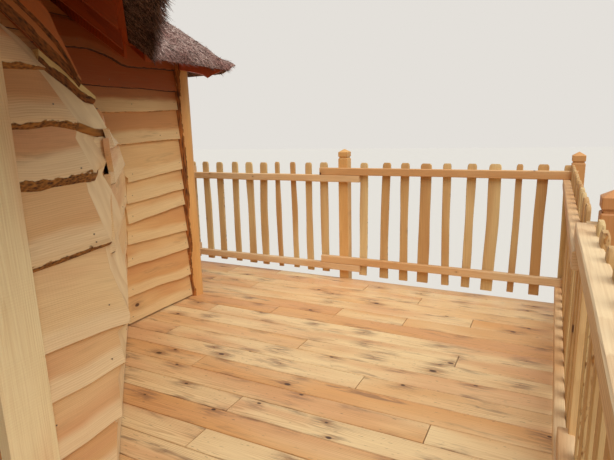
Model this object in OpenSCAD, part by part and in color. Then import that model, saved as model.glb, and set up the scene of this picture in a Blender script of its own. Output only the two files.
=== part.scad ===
// Tree house: a small live-edge clad cabin with a thatched roof on a railed timber deck on legs.
// The layout below is drawn from the inner corner of the two long railings, on top of the deck:
// x runs along the far railing, y runs towards it, and both are negative over the deck.

/* [Platform] */
// Height of the deck's top above the ground
deck_h = 2400; // [1500:50:3000]
// Thickness of the deck boards
board_t = 28; // [20:1:45]
// Width of a joist
joist_w = 63; // [45:1:90]
// Height of a joist
joist_h = 150; // [100:5:220]
// Distance from one joist to the next
joist_pitch = 480; // [350:10:700]
// Width of a bearer
bearer_w = 100; // [75:5:160]
// Height of a bearer
bearer_h = 200; // [150:10:300]
// Diameter of a leg
leg_d = 220; // [160:5:300]
// How far the outer legs stand in from the deck's edges
leg_inset = 350; // [250:10:600]
// Reach of a knee brace along the bearer and down the leg
brace_reach = 620; // [400:10:800]
// Thickness of a knee brace
brace_t = 80; // [50:5:120]

/* [Railing] */
// Height of the upper top rail's top above the deck
rail_top = 1000; // [850:10:1200]
// Height of the upper bottom rail's top above the deck
foot_rail_top = 204; // [150:2:300]
// Height of a rail's section
rail_h = 61; // [45:1:80]
// Thickness of a rail
rail_t = 46; // [35:1:60]
// How far a rail runs past the middle of the post that it laps on
rail_lap = 190; // [100:5:240]
// Side of a square railing post
post_s = 88; // [70:2:120]
// Height of a post's shaft above the deck
post_top = 1052; // [1000:2:1300]
// Height of a post's pointed cap above its neck
cap_h = 67; // [30:1:80]
// Width of a slat of the railing
slat_w = 66; // [45:1:80]
// Thickness of a slat
slat_t = 24; // [15:1:35]
// Distance from one slat to the next
slat_pitch = 165; // [120:1:200]
// Height of a slat's top above the deck
slat_top = 1045; // [1005:1:1300]
// Height of a slat's foot above the deck
slat_foot = 37; // [20:1:80]
// Width of the way on to the deck beside the cabin
gap_w = 860; // [700:10:1000]

/* [Cabin] */
// How far the cabin's front stands behind the right railing
front_x = 2740; // [2500:10:3000]
// How far the entrance stands behind the right railing
entry_x = 1630; // [1500:10:1800]
// Width of the passage between the cabin and the far railing
passage_w = 830; // [700:10:1000]
// Depth of the cabin's room from its front to its back, outside
body_d = 2440; // [2200:10:3000]
// Width of the cabin's front, outside
body_w = 5200; // [4900:10:5600]
// How far the deck reaches past the cabin's near side
near_ledge = 140; // [100:5:300]
// How far the deck reaches past the cabin's back
back_ledge = 160; // [110:5:300]
// Width of the entrance wall, outside
entry_w = 1714; // [1500:10:2000]
// Thickness of a wall's frame, without its cladding
wall_t = 100; // [70:5:160]
// Thickness of the floor boards
floor_t = 22; // [15:1:40]
// Diameter of a corner log
log_d = 124; // [100:2:180]
// Width of the doorway
door_w = 670; // [600:10:900]
// Height of the doorway
door_h = 1700; // [1550:10:1720]
// Width of a door jamb's plank
jamb_w = 165; // [100:5:200]
// Thickness of a door jamb's plank
jamb_t = 60; // [40:2:90]
// Height of the entrance wall's top at its corners
eaves_h = 1460; // [1300:10:1500]
// Height of the entrance wall's peak
peak_h = 2210; // [2150:10:2300]
// Height of the porch wall's top where it meets the cabin's front
porch_end_h = 1070; // [900:10:1200]
// How far the porch walls lean out as they rise, in degrees
porch_lean = 5; // [0:0.5:7]
// Thickness of the porch roof's boards
porch_board_t = 30; // [20:1:50]
// Height of a rake board's section
rake_h = 110; // [80:5:160]
// Thickness of a rake board
rake_t = 42; // [25:1:50]

/* [Roof] */
// Pitch of the thatched roof
roof_pitch = 40; // [38:1:44]
// Height of the thatch's lower edge above the deck
roof_eaves_h = 1785; // [1750:5:1900]
// How far the thatch stands out from the cabin's front and back
eaves_out = 440; // [380:10:500]
// How far the thatch stands out from the cabin's sides
verge_out = 280; // [250:10:400]
// Thickness of the thatch
thatch_t = 50; // [40:5:200]
// How far the thatch reaches past its boards
thatch_over = 130; // [60:10:200]
// Thickness of the boards under the thatch
lining_t = 22; // [15:1:35]
// Height of a rafter
rafter_h = 75; // [60:5:150]
// Width of a rafter
rafter_w = 60; // [45:1:90]
// Distance from one rafter to the next
rafter_pitch = 560; // [400:10:800]
// Diameter of the rolled ridge
ridge_d = 260; // [180:10:340]

/* [Hidden] */
$fn = 48;
far_away = 20000;
tall = 5000;

// Edges of the deck and the frame that carries it
deck_w = rail_t + front_x + body_d + back_ledge;
deck_l = rail_t + passage_w + body_w + near_ledge;
deck_x1 = rail_t;
deck_x0 = deck_x1 - deck_w;
deck_y1 = rail_t;
deck_y0 = deck_y1 - deck_l;
joist_z = -board_t - joist_h;
bearer_z = joist_z - bearer_h;
leg_h = deck_h + bearer_z;
leg_xs = [deck_x0 + leg_inset, (deck_x0 + deck_x1) / 2, deck_x1 - leg_inset];
leg_ys = [deck_y0 + leg_inset, (deck_y0 + deck_y1) / 2, deck_y1 - leg_inset];

// The middle posts of the right railing stand clear of its slats, on a packing board
slat_clearance = 10;
packing_t = slat_t + slat_clearance;

// Corners of the cabin's outline, outside its frame, on the far half and mirrored on the near half
back_x = -front_x - body_d;
side_y = -passage_w;
centre_y = side_y - body_w / 2;
entry_y = centre_y + entry_w / 2;
porch_y = entry_y + front_x - entry_x;
function near(p) = [p[0], 2 * centre_y - p[1]];
corner_far = [-front_x, side_y];
porch_far = [-front_x, porch_y];
entry_far = [-entry_x, entry_y];
back_far = [back_x, side_y];

// The same corners, inside the frame
corner_far_in = corner_far - [wall_t, wall_t];
porch_far_in = porch_far - [wall_t, 0];
back_far_in = back_far + [wall_t, -wall_t];

// Lower edges of the thatch, and the points where its slopes meet, in plan
eave_x = -front_x + eaves_out;
eave_back_x = back_x - eaves_out;
eave_y = side_y + verge_out;
half_span = (eave_x - eave_back_x) / 2;
ridge_end = [eave_x - half_span, eave_y - half_span];
porch_eave = ridge_end[0] + ridge_end[1] + half_span * sqrt(2);
valley_foot = [eave_x, porch_eave - eave_x];
porch_tip = [porch_eave - centre_y, centre_y];
peak_x = (porch_tip[0] / sqrt(2) + eave_back_x) / (1 + 1 / sqrt(2));
peak = [peak_x, centre_y];
hip_far = [eave_x, eave_y];
hip_back = [eave_back_x, eave_y];
plan_front = [hip_far, valley_foot, ridge_end];
plan_porch = [valley_foot, porch_tip, peak, ridge_end];
plan_side = [hip_far, ridge_end, hip_back];
plan_back = [hip_back, ridge_end, peak, near(ridge_end), near(hip_back)];

// Depths below the thatch's lower face, at right angles to the slope
lining_z = -lining_t;
rafter_z = -lining_t - rafter_h;
function rise(run) = run * tan(roof_pitch);
function upright(depth) = depth / cos(roof_pitch);
function roof_z(run, depth) = roof_eaves_h + rise(run) + upright(depth);

// The porch roof's slope: it falls through the corner of the entrance to the cabin's front
porch_gy = (eaves_h - peak_h) / (entry_w / 2);
porch_gx = porch_gy - (porch_end_h - eaves_h) / (front_x - entry_x);
porch_az = atan2(-porch_gy, -porch_gx);
porch_pitch = atan(norm([porch_gx, porch_gy]));

// The whole part's middle, on the ground
mid_x = (deck_x1 + packing_t + post_s + min(eave_back_x, deck_x0 - post_s)) / 2;
mid_y = (deck_y1 + post_s + min(2 * centre_y - eave_y, deck_y0 - post_s)) / 2;

pale = "#dcb07a";
honey = "#d99a55";
sawn = "#e3bf8c";
heather = "#a08774";

module placed() translate([-mid_x, -mid_y, deck_h]) children();
module mirrored() translate([0, 2 * centre_y, 0]) mirror([0, 1, 0]) children();

// All below a plane that falls at a pitch towards an azimuth
module below(p, az, pitch) translate(p) rotate([0, 0, az]) rotate([0, pitch, 0])
    translate([-far_away, -far_away, -far_away]) cube([2 * far_away, 2 * far_away, far_away]);

// A flat layer from one depth to a higher one, on a plane that falls towards an azimuth
module layer(p, az, pitch, low, high) translate(p) rotate([0, 0, az]) rotate([0, pitch, 0])
    translate([-far_away, -far_away, low]) cube([2 * far_away, 2 * far_away, high - low]);

module prism(plan, low, high) translate([0, 0, low]) linear_extrude(high - low) polygon(plan);

// All below one of the thatch's slopes, at a depth from its lower face
module below_slope(edge, az, depth)
    below([edge[0], edge[1], roof_eaves_h + upright(depth)], az, roof_pitch);

module below_porch_slopes(depth) intersection() {
    below_slope(valley_foot, 45, depth);
    below_slope(near(valley_foot), -45, depth);
}

module below_roof(depth) intersection() {
    below_slope(hip_back, 180, depth);
    below_slope(hip_far, 90, depth);
    below_slope(near(hip_far), -90, depth);
    union() {
        below_slope(hip_far, 0, depth);
        below_porch_slopes(depth);
    }
}

// All below the porch roof's two slopes, at an upright offset
module below_porch_roof(offset_z = 0) intersection() {
    below([-entry_x, entry_y, eaves_h + offset_z], porch_az, porch_pitch);
    mirrored() below([-entry_x, entry_y, eaves_h + offset_z], porch_az, porch_pitch);
}

// All inside a porch wall's outer plane, or deeper: it leans out and passes the wall's lowest top edge
module inside_porch(depth = 0) translate([-front_x, porch_y, porch_end_h]) rotate([0, 0, 45])
    rotate([0, porch_lean, 0]) translate([-far_away, -far_away, -far_away])
        cube([far_away - depth, 2 * far_away, 2 * far_away]);

// Platform
brace_side = brace_t * sqrt(2);
module brace(dir) rotate([0, 0, dir]) rotate([90, 0, 0]) translate([0, 0, -brace_t / 2])
    linear_extrude(brace_t) polygon([[0, leg_h - brace_reach], [0, leg_h - brace_reach - brace_side],
        [brace_reach + brace_side, leg_h], [brace_reach, leg_h]]);

module leg(x, y, dirs) translate([x, y, 0]) {
    cylinder(d = leg_d, h = leg_h);
    for (dir = dirs) brace(dir);
}

module leg_row(y) color(honey) translate([0, 0, -deck_h]) {
    leg(leg_xs[0], y, [0]);
    leg(leg_xs[1], y, [0, 180]);
    leg(leg_xs[2], y, [180]);
}

module bearers() color(honey) for (y = leg_ys)
    translate([deck_x0, y - bearer_w / 2, bearer_z]) cube([deck_w, bearer_w, bearer_h]);

joist_n = ceil((deck_w - joist_w) / joist_pitch);
module joists() color(honey) for (i = [0:joist_n])
    translate([deck_x0 + i * (deck_w - joist_w) / joist_n, deck_y0, joist_z])
        cube([joist_w, deck_l, joist_h]);

module deck() color(honey) translate([deck_x0, deck_y0, -board_t]) cube([deck_w, deck_l, board_t]);

// Railing: posts stand outside the deck's edge, from the bearers' feet to a pointed cap
neck_in = 6;
neck_h = 12;
cap_edge = 0.6 * cap_h;
module post(x, y) color(honey) translate([x, y, 0]) {
    translate([-post_s / 2, -post_s / 2, bearer_z]) cube([post_s, post_s, post_top - bearer_z]);
    translate([neck_in - post_s / 2, neck_in - post_s / 2, post_top])
        cube([post_s - 2 * neck_in, post_s - 2 * neck_in, neck_h]);
    translate([-post_s / 2, -post_s / 2, post_top + neck_h]) cube([post_s, post_s, cap_edge]);
    translate([0, 0, post_top + neck_h + cap_edge]) rotate([0, 0, 45])
        cylinder(d1 = post_s * sqrt(2), d2 = 0, h = cap_h - cap_edge, $fn = 4);
}

bays = 3;
bay_x = deck_w / bays;
bay_y = deck_l / bays;
post_x1 = deck_x1 + post_s / 2;
post_y1 = deck_y1 + post_s / 2;
near_y = deck_y0 - post_s / 2;
gap_post_x = -front_x + gap_w + post_s / 2;
module posts_far() {
    for (i = [0:bays]) post(post_x1 - i * bay_x, post_y1);
    post(deck_x0 - post_s / 2, side_y + post_s / 2);
}
module posts_right() for (i = [1:bays - 1]) {
    y = post_y1 - i * bay_y;
    post(post_x1 + packing_t, y);
    color(honey) translate([deck_x1, y - post_s / 2, joist_z]) cube([packing_t, post_s, rail_top - joist_z]);
}
module posts_near() {
    post(post_x1, post_y1 - bays * bay_y);
    post(gap_post_x, near_y);
}

// A panel along x from a to b: two rails inside the posts and the slats outside them
module panel(a, b, lowered, first, last) color(pale) {
    drop = lowered ? rail_h : 0;
    for (top = [rail_top, foot_rail_top])
        translate([a, 0, top - rail_h - drop]) cube([b - a, rail_t, rail_h]);
    n = max(1, round((last - first) / slat_pitch));
    for (i = [0:n]) translate([first + i * (last - first) / n - slat_w / 2, rail_t, slat_foot])
        cube([slat_w, slat_t, slat_top - slat_foot]);
}

slat_clear = slat_pitch + slat_t;
slat_gap = 4;
slat_corner = post_x1 - (post_s + slat_w) / 2 - slat_gap;
back_start = side_y + log_d;
function far_post(i) = post_x1 - i * bay_x;
module railing_far_1() panel(far_post(1) - rail_lap, post_x1, false,
    far_post(1) + slat_clear, slat_corner);
module railing_far_2() panel(far_post(2) - rail_lap, far_post(1) + rail_lap, true,
    far_post(2) + slat_clear, far_post(1) - slat_clear);
module railing_far_3() panel(far_post(3), far_post(2) + rail_lap, false,
    far_post(3) + slat_clear, far_post(2) - slat_clear);

// The right railing's panels are drawn along x and turned on to the deck's right edge
module turned() mirror([1, -1, 0]) children();
function right_post(i) = post_y1 - i * bay_y;
module railing_right_1() turned() panel(right_post(1) - rail_lap, post_y1, true,
    right_post(1) + slat_clear, slat_corner);
module railing_right_2() turned() panel(right_post(2) - rail_lap, right_post(1), false,
    right_post(2) + slat_clear, right_post(1) - slat_clear);
module railing_right_3() turned() panel(right_post(3), right_post(2) + rail_lap, true,
    right_post(3) + slat_clear, right_post(2) - slat_clear);

// The near panel faces the other way, and the back one closes the passage behind the cabin
module railing_near() translate([0, deck_y1 + deck_y0, 0]) mirror([0, 1, 0])
    panel(gap_post_x - post_s / 2, deck_x1, false, gap_post_x + slat_clear, slat_corner);
module railing_back() translate([deck_x0 + rail_t, 0, 0]) mirror([1, 0, 0]) turned()
    panel(back_start, deck_y1, true, back_start + slat_w, slat_corner - slat_w / 2);

// Cabin's frame
log_out = 40;
log_side = 10;
log_at = corner_far + [log_out, log_side];
log_back = back_far + [-log_out, log_side];
module corner_posts() for (p = [log_at, near(log_at), log_back, near(log_back)])
    translate([p[0], p[1], 0]) cylinder(d = log_d, h = tall);

module corner_logs() color(honey) intersection() {
    corner_posts();
    below_roof(rafter_z);
}

module wall(plan) color(pale) difference() {
    intersection() {
        prism(plan, 0, tall);
        below_roof(rafter_z);
    }
    corner_posts();
}

module floor() color(honey) {
    prism([corner_far_in, near(corner_far_in), near(back_far_in), back_far_in], 0, floor_t);
    intersection() {
        translate([-front_x - 2 * wall_t, side_y - body_w, 0])
            cube([front_x - entry_x + wall_t, body_w, floor_t]);
        inside_porch(wall_t);
        mirrored() inside_porch(wall_t);
    }
}

// Below the porch roof, the front wall runs on behind the porch wall's end
module front_wall_far() {
    wall([corner_far, porch_far, porch_far_in, corner_far_in]);
    color(pale) difference() {
        intersection() {
            translate([-front_x - wall_t, centre_y, 0]) cube([wall_t, body_w / 2 - wall_t, tall]);
            below_porch_roof();
        }
        inside_porch(wall_t);
    }
}
module front_wall_near() mirrored() front_wall_far();
module front_wall_upper() difference() {
    wall([porch_far, near(porch_far), near(porch_far_in), porch_far_in]);
    below_porch_roof(porch_board_t / cos(porch_pitch));
}
module side_wall_far() wall([corner_far, corner_far_in, back_far_in, back_far]);
module side_wall_near() mirrored() side_wall_far();
module back_wall() wall([back_far, near(back_far), near(back_far_in), back_far_in]);

// A porch wall runs from the front wall's outer face to the entrance wall's inner face
door_y = centre_y + door_w / 2;
module porch_wall_far() color(pale) intersection() {
    difference() {
        inside_porch();
        inside_porch(wall_t);
    }
    translate([-front_x, centre_y, 0]) cube([front_x - entry_x - wall_t, body_w, tall]);
    below_porch_roof();
}
module porch_wall_near() mirrored() porch_wall_far();

module entrance_slab(y, length, low = 0) color(pale) intersection() {
    translate([-entry_x - wall_t, y, low]) cube([wall_t, length, tall]);
    inside_porch();
    below_porch_roof();
}
module entrance_wall_far() entrance_slab(door_y, entry_w);
module entrance_wall_near() mirrored() entrance_wall_far();
module entrance_wall_head() entrance_slab(door_y - door_w, door_w, door_h);

// Planks around the doorway, and the rake boards above them, on the entrance wall's outer face
rake_drop = rake_h / cos(atan(porch_gy));
head_h = 90;
module door_frame() color(sawn) intersection() {
    union() {
        for (y = [door_y, 2 * centre_y - door_y - jamb_w])
            translate([-entry_x, y, 0]) cube([jamb_t, jamb_w, peak_h]);
        translate([-entry_x, 2 * centre_y - door_y, door_h]) cube([jamb_t, door_w, head_h]);
    }
    below_porch_roof(-rake_drop);
}

module rake_boards() color(sawn) difference() {
    intersection() {
        translate([-entry_x, centre_y - entry_w / 2, 0]) cube([rake_t, entry_w, peak_h]);
        below_porch_roof();
    }
    below_porch_roof(-rake_drop);
}

// The porch roof covers the rake boards and the tops of the leaning porch walls
porch_cover = 5;
porch_over = (eaves_h - porch_end_h) * tan(porch_lean) + porch_cover;
porch_reach = -front_x + porch_y + porch_over * sqrt(2);
porch_x1 = -entry_x + rake_t;
module porch_roof_far() color(pale) intersection() {
    prism([porch_far_in, porch_far, [-front_x, porch_reach + front_x], [porch_x1, porch_reach - porch_x1],
        [porch_x1, centre_y], [-front_x - wall_t, centre_y]], 0, tall);
    layer([-entry_x, entry_y, eaves_h], porch_az, porch_pitch, 0, porch_board_t);
}
module porch_roof_near() mirrored() porch_roof_far();

// Roof: each slope has its plan, a point of its lower edge and the azimuth to which it falls
slopes = [[plan_front, hip_far, 0], [plan_porch, valley_foot, 45], [plan_side, hip_far, 90]];
back_slope = [plan_back, hip_back, 180];

// The outline of the eaves, drawn in by a distance
function eaves_far(inset) = [[eave_back_x + inset, eave_y - inset], [eave_x - inset, eave_y - inset],
    [eave_x - inset, porch_eave - inset * sqrt(2) - eave_x + inset],
    [porch_eave - inset * sqrt(2) - centre_y, centre_y]];
function eaves(inset) = concat(eaves_far(inset), [for (i = [2:-1:0]) near(eaves_far(inset)[i])]);

module slope_layer(slope, low, high)
    layer([slope[1][0], slope[1][1], roof_eaves_h], slope[2], roof_pitch, low, high);

module slope_piece(slope, inset, low, high) intersection() {
    prism(slope[0], 0, tall);
    prism(eaves(inset), 0, tall);
    slope_layer(slope, low, high);
}

module all_slopes() {
    for (slope = slopes) {
        $slope = slope;
        children();
        mirrored() children();
    }
    $slope = back_slope;
    children();
}

module roof_boards() color(honey) all_slopes() slope_piece($slope, thatch_over, lining_z, 0);

// Boards stand on edge under the hips, valleys, ridge and porch ridge, and the rafters end on them
hip_t = 40;
tail_in = 30;
module upright_board(p, q, back = far_away)
    translate([p[0], p[1], 0]) rotate([0, 0, atan2(q[1] - p[1], q[0] - p[0])])
        translate([-back, -hip_t / 2, 0]) cube([back + norm(q - p), hip_t, tall]);
module half_hips() intersection() {
    union() {
        upright_board(hip_far, ridge_end);
        upright_board(hip_back, ridge_end);
        upright_board(valley_foot, ridge_end);
        upright_board(ridge_end, peak, 0);
        upright_board(porch_tip, peak);
    }
    prism(eaves(thatch_over + tail_in), 0, tall);
}
module all_hips() {
    half_hips();
    mirrored() half_hips();
}
module hip_boards() color(honey) intersection() {
    all_hips();
    difference() {
        below_roof(lining_z);
        below_roof(rafter_z);
    }
}

// Rafters lie down the slope under the boards, cut to the slope's plan
rafter_run = body_w + 2 * front_x;
rafter_n = ceil((body_w + 2 * verge_out) / rafter_pitch);
module slope_rafters(slope) intersection() {
    prism(slope[0], 0, tall);
    prism(eaves(thatch_over + tail_in), 0, tall);
    translate([slope[1][0], slope[1][1], roof_eaves_h]) rotate([0, 0, slope[2]]) rotate([0, roof_pitch, 0])
        for (i = [-rafter_n:rafter_n])
            translate([-rafter_run, (i + 0.5) * rafter_pitch - rafter_w / 2, rafter_z])
                cube([2 * rafter_run, rafter_w, rafter_h]);
}
module rafters() color(honey) difference() {
    all_slopes() slope_rafters($slope);
    all_hips();
}

module thatch(slope) color(heather) slope_piece(slope, 0, 0, thatch_t);
module thatch_front_far() thatch(slopes[0]);
module thatch_porch_far() thatch(slopes[1]);
module thatch_side_far() thatch(slopes[2]);
module thatch_front_near() mirrored() thatch(slopes[0]);
module thatch_porch_near() mirrored() thatch(slopes[1]);
module thatch_side_near() mirrored() thatch(slopes[2]);
module thatch_back() thatch(back_slope);

// A roll of heather over the ridge, lying on the thatch, mitred at the peak
ridge_sides = 12;
ridge_lift = ridge_d / 5;
function on_ridge(p) = [p[0], p[1], roof_z(p[0] - eave_back_x, thatch_t) + ridge_lift];
module rod(p, q, d)
    translate(p) rotate([0, acos((q[2] - p[2]) / norm(q - p)), atan2(q[1] - p[1], q[0] - p[0])])
        cylinder(d = d, h = norm(q - p), $fn = ridge_sides);
module half_ridge() {
    foot = on_ridge(ridge_end);
    top = on_ridge(peak);
    intersection() {
        rod(foot, top + (top - foot) * ridge_d / norm(top - foot), ridge_d);
        translate([-far_away, centre_y, 0]) cube(far_away);
    }
}
module ridge_roll() color(heather) difference() {
    union() {
        half_ridge();
        mirrored() half_ridge();
    }
    below_roof(thatch_t);
}

module legs_far() leg_row(leg_ys[2]);
module legs_middle() leg_row(leg_ys[1]);
module legs_near() leg_row(leg_ys[0]);

placed() legs_far();
placed() legs_middle();
placed() legs_near();
placed() bearers();
placed() joists();
placed() deck();
placed() posts_far();
placed() posts_right();
placed() posts_near();
placed() railing_far_1();
placed() railing_far_2();
placed() railing_far_3();
placed() railing_right_1();
placed() railing_right_2();
placed() railing_right_3();
placed() railing_near();
placed() railing_back();
placed() floor();
placed() corner_logs();
placed() front_wall_far();
placed() front_wall_near();
placed() front_wall_upper();
placed() side_wall_far();
placed() side_wall_near();
placed() back_wall();
placed() porch_wall_far();
placed() porch_wall_near();
placed() entrance_wall_far();
placed() entrance_wall_near();
placed() entrance_wall_head();
placed() door_frame();
placed() rake_boards();
placed() porch_roof_far();
placed() porch_roof_near();
placed() rafters();
placed() hip_boards();
placed() roof_boards();
placed() thatch_front_far();
placed() thatch_front_near();
placed() thatch_porch_far();
placed() thatch_porch_near();
placed() thatch_side_far();
placed() thatch_side_near();
placed() thatch_back();
placed() ridge_roll();
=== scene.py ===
"""A thatched tree house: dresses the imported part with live-edge boards, railings, logs and thatch.

Lengths are metres. Shapes are drawn in the part's layout frame: its origin is the inner corner of the
two long railings, on top of the deck, x runs along the far railing and y towards it. LAYOUT moves them
into the frame's own axes when a mesh is made.
"""

import logging
import math
from dataclasses import dataclass, field, replace
from enum import Enum
from typing import Callable, Sequence

import bpy
import numpy as np
from mathutils import Matrix, Vector
from numpy.typing import NDArray

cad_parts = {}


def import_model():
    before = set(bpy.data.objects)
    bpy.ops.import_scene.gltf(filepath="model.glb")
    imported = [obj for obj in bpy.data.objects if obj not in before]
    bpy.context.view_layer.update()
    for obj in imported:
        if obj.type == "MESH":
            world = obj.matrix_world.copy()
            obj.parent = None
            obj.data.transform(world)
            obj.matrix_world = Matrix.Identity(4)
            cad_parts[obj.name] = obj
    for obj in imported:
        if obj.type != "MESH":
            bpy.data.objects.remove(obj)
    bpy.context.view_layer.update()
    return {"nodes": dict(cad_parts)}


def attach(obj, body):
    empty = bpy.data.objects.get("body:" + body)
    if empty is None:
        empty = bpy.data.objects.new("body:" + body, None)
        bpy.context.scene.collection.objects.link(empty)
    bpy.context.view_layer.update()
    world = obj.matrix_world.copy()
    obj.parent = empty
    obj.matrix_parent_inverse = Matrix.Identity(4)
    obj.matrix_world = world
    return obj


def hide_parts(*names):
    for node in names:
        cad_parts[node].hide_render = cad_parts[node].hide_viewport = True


Array = NDArray[np.float64]
Pair = tuple[float, float]
Triple = tuple[float, float, float]
Points2 = Sequence[Pair]
Socket = bpy.types.NodeSocket
Adder = Callable[..., Socket]

LOG = logging.getLogger("tree_house")
LAYOUT = np.array([2.726, 3.088, 2.4])
# y of the cabin's middle line
CENTRE_Y = -3.43
UP = np.array([0.0, 0.0, 1.0])
# Pairs of a share of a bar's or log's length and its section's scale there, for one that doesn't taper
EVEN: Points2 = ((0.0, 1.0), (1.0, 1.0))
# Factors that mix a grid cell's three numbers and the seed into one number, and then that number's bits
CELL_MIX = np.array([73856093, 19349663, 83492791])
SEED_MIX = 40503
BIT_MIX = ((13, 1274126177), (15, 668265263))


# Numbers on grids


def lattice(cells: Array, seed: int) -> Array:
    """Gives each whole-number cell its own value from -1 to 1 by multiplying and mixing its bits.

    Args:
        cells: Whole-number cell coordinates, shape (..., 3).
        seed: Picks another set of values.

    Returns:
        The values, shape (...).
    """
    h = np.bitwise_xor.reduce((cells.astype(np.int64) & 0xFFFFF) * CELL_MIX, -1) ^ (seed * SEED_MIX)
    for shift, factor in BIT_MIX:
        h = ((h ^ (h >> shift)) * factor) & 0x7FFFFFFF
    return ((h ^ (h >> 16)) & 0xFFFF) / 32767.5 - 1.0


def noise(points: Array, cell: float | Sequence[float], seed: int = 0) -> Array:
    """Smooth noise: the lattice values at a cell's 8 corners, weighted by 3f^2 - 2f^3 on each axis.

    Args:
        points: Where to read it, shape (..., 3).
        cell: Size of a cell, one number or one for each axis.
        seed: Picks another pattern.

    Returns:
        Values from -1 to 1, shape (...).
    """
    q = np.asarray(points, float) / np.asarray(cell, float)
    base = np.floor(q)
    f = q - base
    f = f * f * (3.0 - 2.0 * f)
    total = np.zeros(q.shape[:-1])
    for corner in np.ndindex(2, 2, 2):
        weight = np.prod(np.where(np.array(corner, bool), f, 1.0 - f), axis=-1)
        total += weight * lattice(base + corner, seed)
    return total


def wander(t: Array, cell: float, row: float, seed: int = 0) -> Array:
    """Smooth noise along one line, with another line, 1.37 cells on, for each row.

    Args:
        t: Distances along the line.
        cell: Length of one swing.
        row: Which line to read.
        seed: Picks another set of lines.

    Returns:
        Values from -1 to 1, in the shape of t.
    """
    return noise(join(np.asarray(t, float), row * cell * 1.37, 0.0), cell, seed)


def smooth(x: Array) -> Array:
    """Turns 0 to 1 into a soft step: 3x^2 - 2x^3, held at 0 and 1 outside."""
    x = np.clip(x, 0.0, 1.0)
    return x * x * (3.0 - 2.0 * x)


def unit(v: Array) -> Array:
    """Each vector divided by its length."""
    return v / np.linalg.norm(v, axis=-1, keepdims=True)


def join(*parts: Array | float) -> Array:
    """The parts, stretched to their common shape, as the last axis of one array."""
    return np.stack(np.broadcast_arrays(*parts), -1)


def circle(turn: Array, side: Array, third: Array) -> Array:
    """Points at angles on a unit circle: side times the cosine plus third times the sine."""
    return np.cos(turn)[..., None] * side + np.sin(turn)[..., None] * third


def near(p: Sequence[float]) -> tuple[float, ...]:
    """The same point on the cabin's other half, mirrored about its middle line."""
    return (p[0], 2 * CENTRE_Y - p[1], *p[2:])


# Surfaces


@dataclass
class Shape:
    """Patches gathered for one piece, with what the finish reads at each corner.

    Attributes:
        corners: Corner points of each patch, in the layout frame.
        faces: Corner numbers of each patch's faces, four a row, the last -1 in a triangle.
        grain: Along, across and into the wood at each corner, in metres.
        tone, bark: At each corner, a number that sets its board apart, and how much bark is left.
        count: How many corners there are so far.
    """

    corners: list[Array] = field(default_factory=list)
    faces: list[Array] = field(default_factory=list)
    grain: list[Array] = field(default_factory=list)
    tone: list[Array] = field(default_factory=list)
    bark: list[Array] = field(default_factory=list)
    count: int = 0

    def add(
        self, corners: Array, faces: Array, grain: Array, tone: Array | float, bark: Array | float = 0.0,
    ) -> None:
        """Adds one patch.

        Args:
            corners: Points, shape (n, 3).
            faces: Corner numbers within the patch, shape (f, 4), the last below 0 in a triangle.
            grain: Grain coordinates, shape (n, 3).
            tone, bark: One value, or one for each corner.
        """
        n = len(corners)
        self.corners.append(corners)
        self.faces.append(np.where(faces < 0, -1, faces + self.count))
        self.grain.append(grain)
        self.tone.append(np.broadcast_to(np.asarray(tone, float), (n,)))
        self.bark.append(np.broadcast_to(np.asarray(bark, float), (n,)))
        self.count += n

    def loft(
        self, rings: Array, grain: Array | None = None, tone: float | Array = 0.5, bark: float | Array = 0.0,
    ) -> None:
        """Joins m closed rings of n points into one closed skin.

        A side face joins points j and j+1 of rings i and i+1. An end is closed by faces that join point
        j to point n-1-j, so a ring's second half runs back along its first. The skin is turned to face
        outwards by the sign of its volume, the sum of its triangles' triple products.

        Args:
            rings: Points, shape (m, n, 3) with n even.
            grain: Grain coordinates, which stretch to the rings' shape, or None for the points themselves.
            tone, bark: One value, or an array that stretches to shape (m, n).
        """
        m, n = rings.shape[:2]
        index = np.arange(m * n).reshape(m, n)
        nxt = np.roll(index, -1, 1)
        j = np.arange(n // 2 - 1)
        side = np.stack([index[:-1], nxt[:-1], nxt[1:], index[1:]], -1).reshape(-1, 4)
        first = np.stack([index[0, j], index[0, n - 1 - j], index[0, n - 2 - j], index[0, j + 1]], -1)
        last = np.stack([index[-1, j], index[-1, j + 1], index[-1, n - 2 - j], index[-1, n - 1 - j]], -1)
        faces = np.concatenate([side, first, last])
        points = rings.reshape(-1, 3)
        c = points[faces] - points.mean(0)
        volume = (np.cross(c[:, 0], c[:, 1]) * c[:, 2]).sum() + (np.cross(c[:, 0], c[:, 2]) * c[:, 3]).sum()
        if volume < 0:
            faces = faces[:, ::-1]
        grain = np.broadcast_to(rings if grain is None else grain, rings.shape)
        flat = [np.broadcast_to(np.asarray(a, float), (m, n)).ravel() for a in (tone, bark)]
        self.add(points, faces, grain.reshape(-1, 3), *flat)

    def spikes(self, base: Array, along: Array, width: Array, tone: Array) -> None:
        """Adds thin closed straws: a small triangle at the base, drawn to a point at the tip.

        Args:
            base: Middle of each base, shape (k, 3).
            along: Base to tip, shape (k, 3).
            width: Width of each base, shape (k,).
            tone: One value for each straw, shape (k,).
        """
        k = len(base)
        axis = unit(along)
        side = unit(np.cross(axis, np.where(np.abs(axis[:, 2:]) > 0.9, (1.0, 0.0, 0.0), UP)))
        third = np.cross(axis, side)
        turn = np.array([0, 2, 4]) * math.pi / 3
        ring = base[:, None] + width[:, None, None] / 2 * circle(turn, side[:, None], third[:, None])
        corners = np.concatenate([ring, (base + along)[:, None]], 1).reshape(-1, 3)
        none = -4 * k
        one = np.array([[0, 1, 3, none], [1, 2, 3, none], [2, 0, 3, none], [0, 2, 1, none]])
        faces = (one + 4 * np.arange(k)[:, None, None]).reshape(-1, 4)
        self.add(corners, faces, np.zeros_like(corners), np.repeat(tone, 4))


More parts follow.
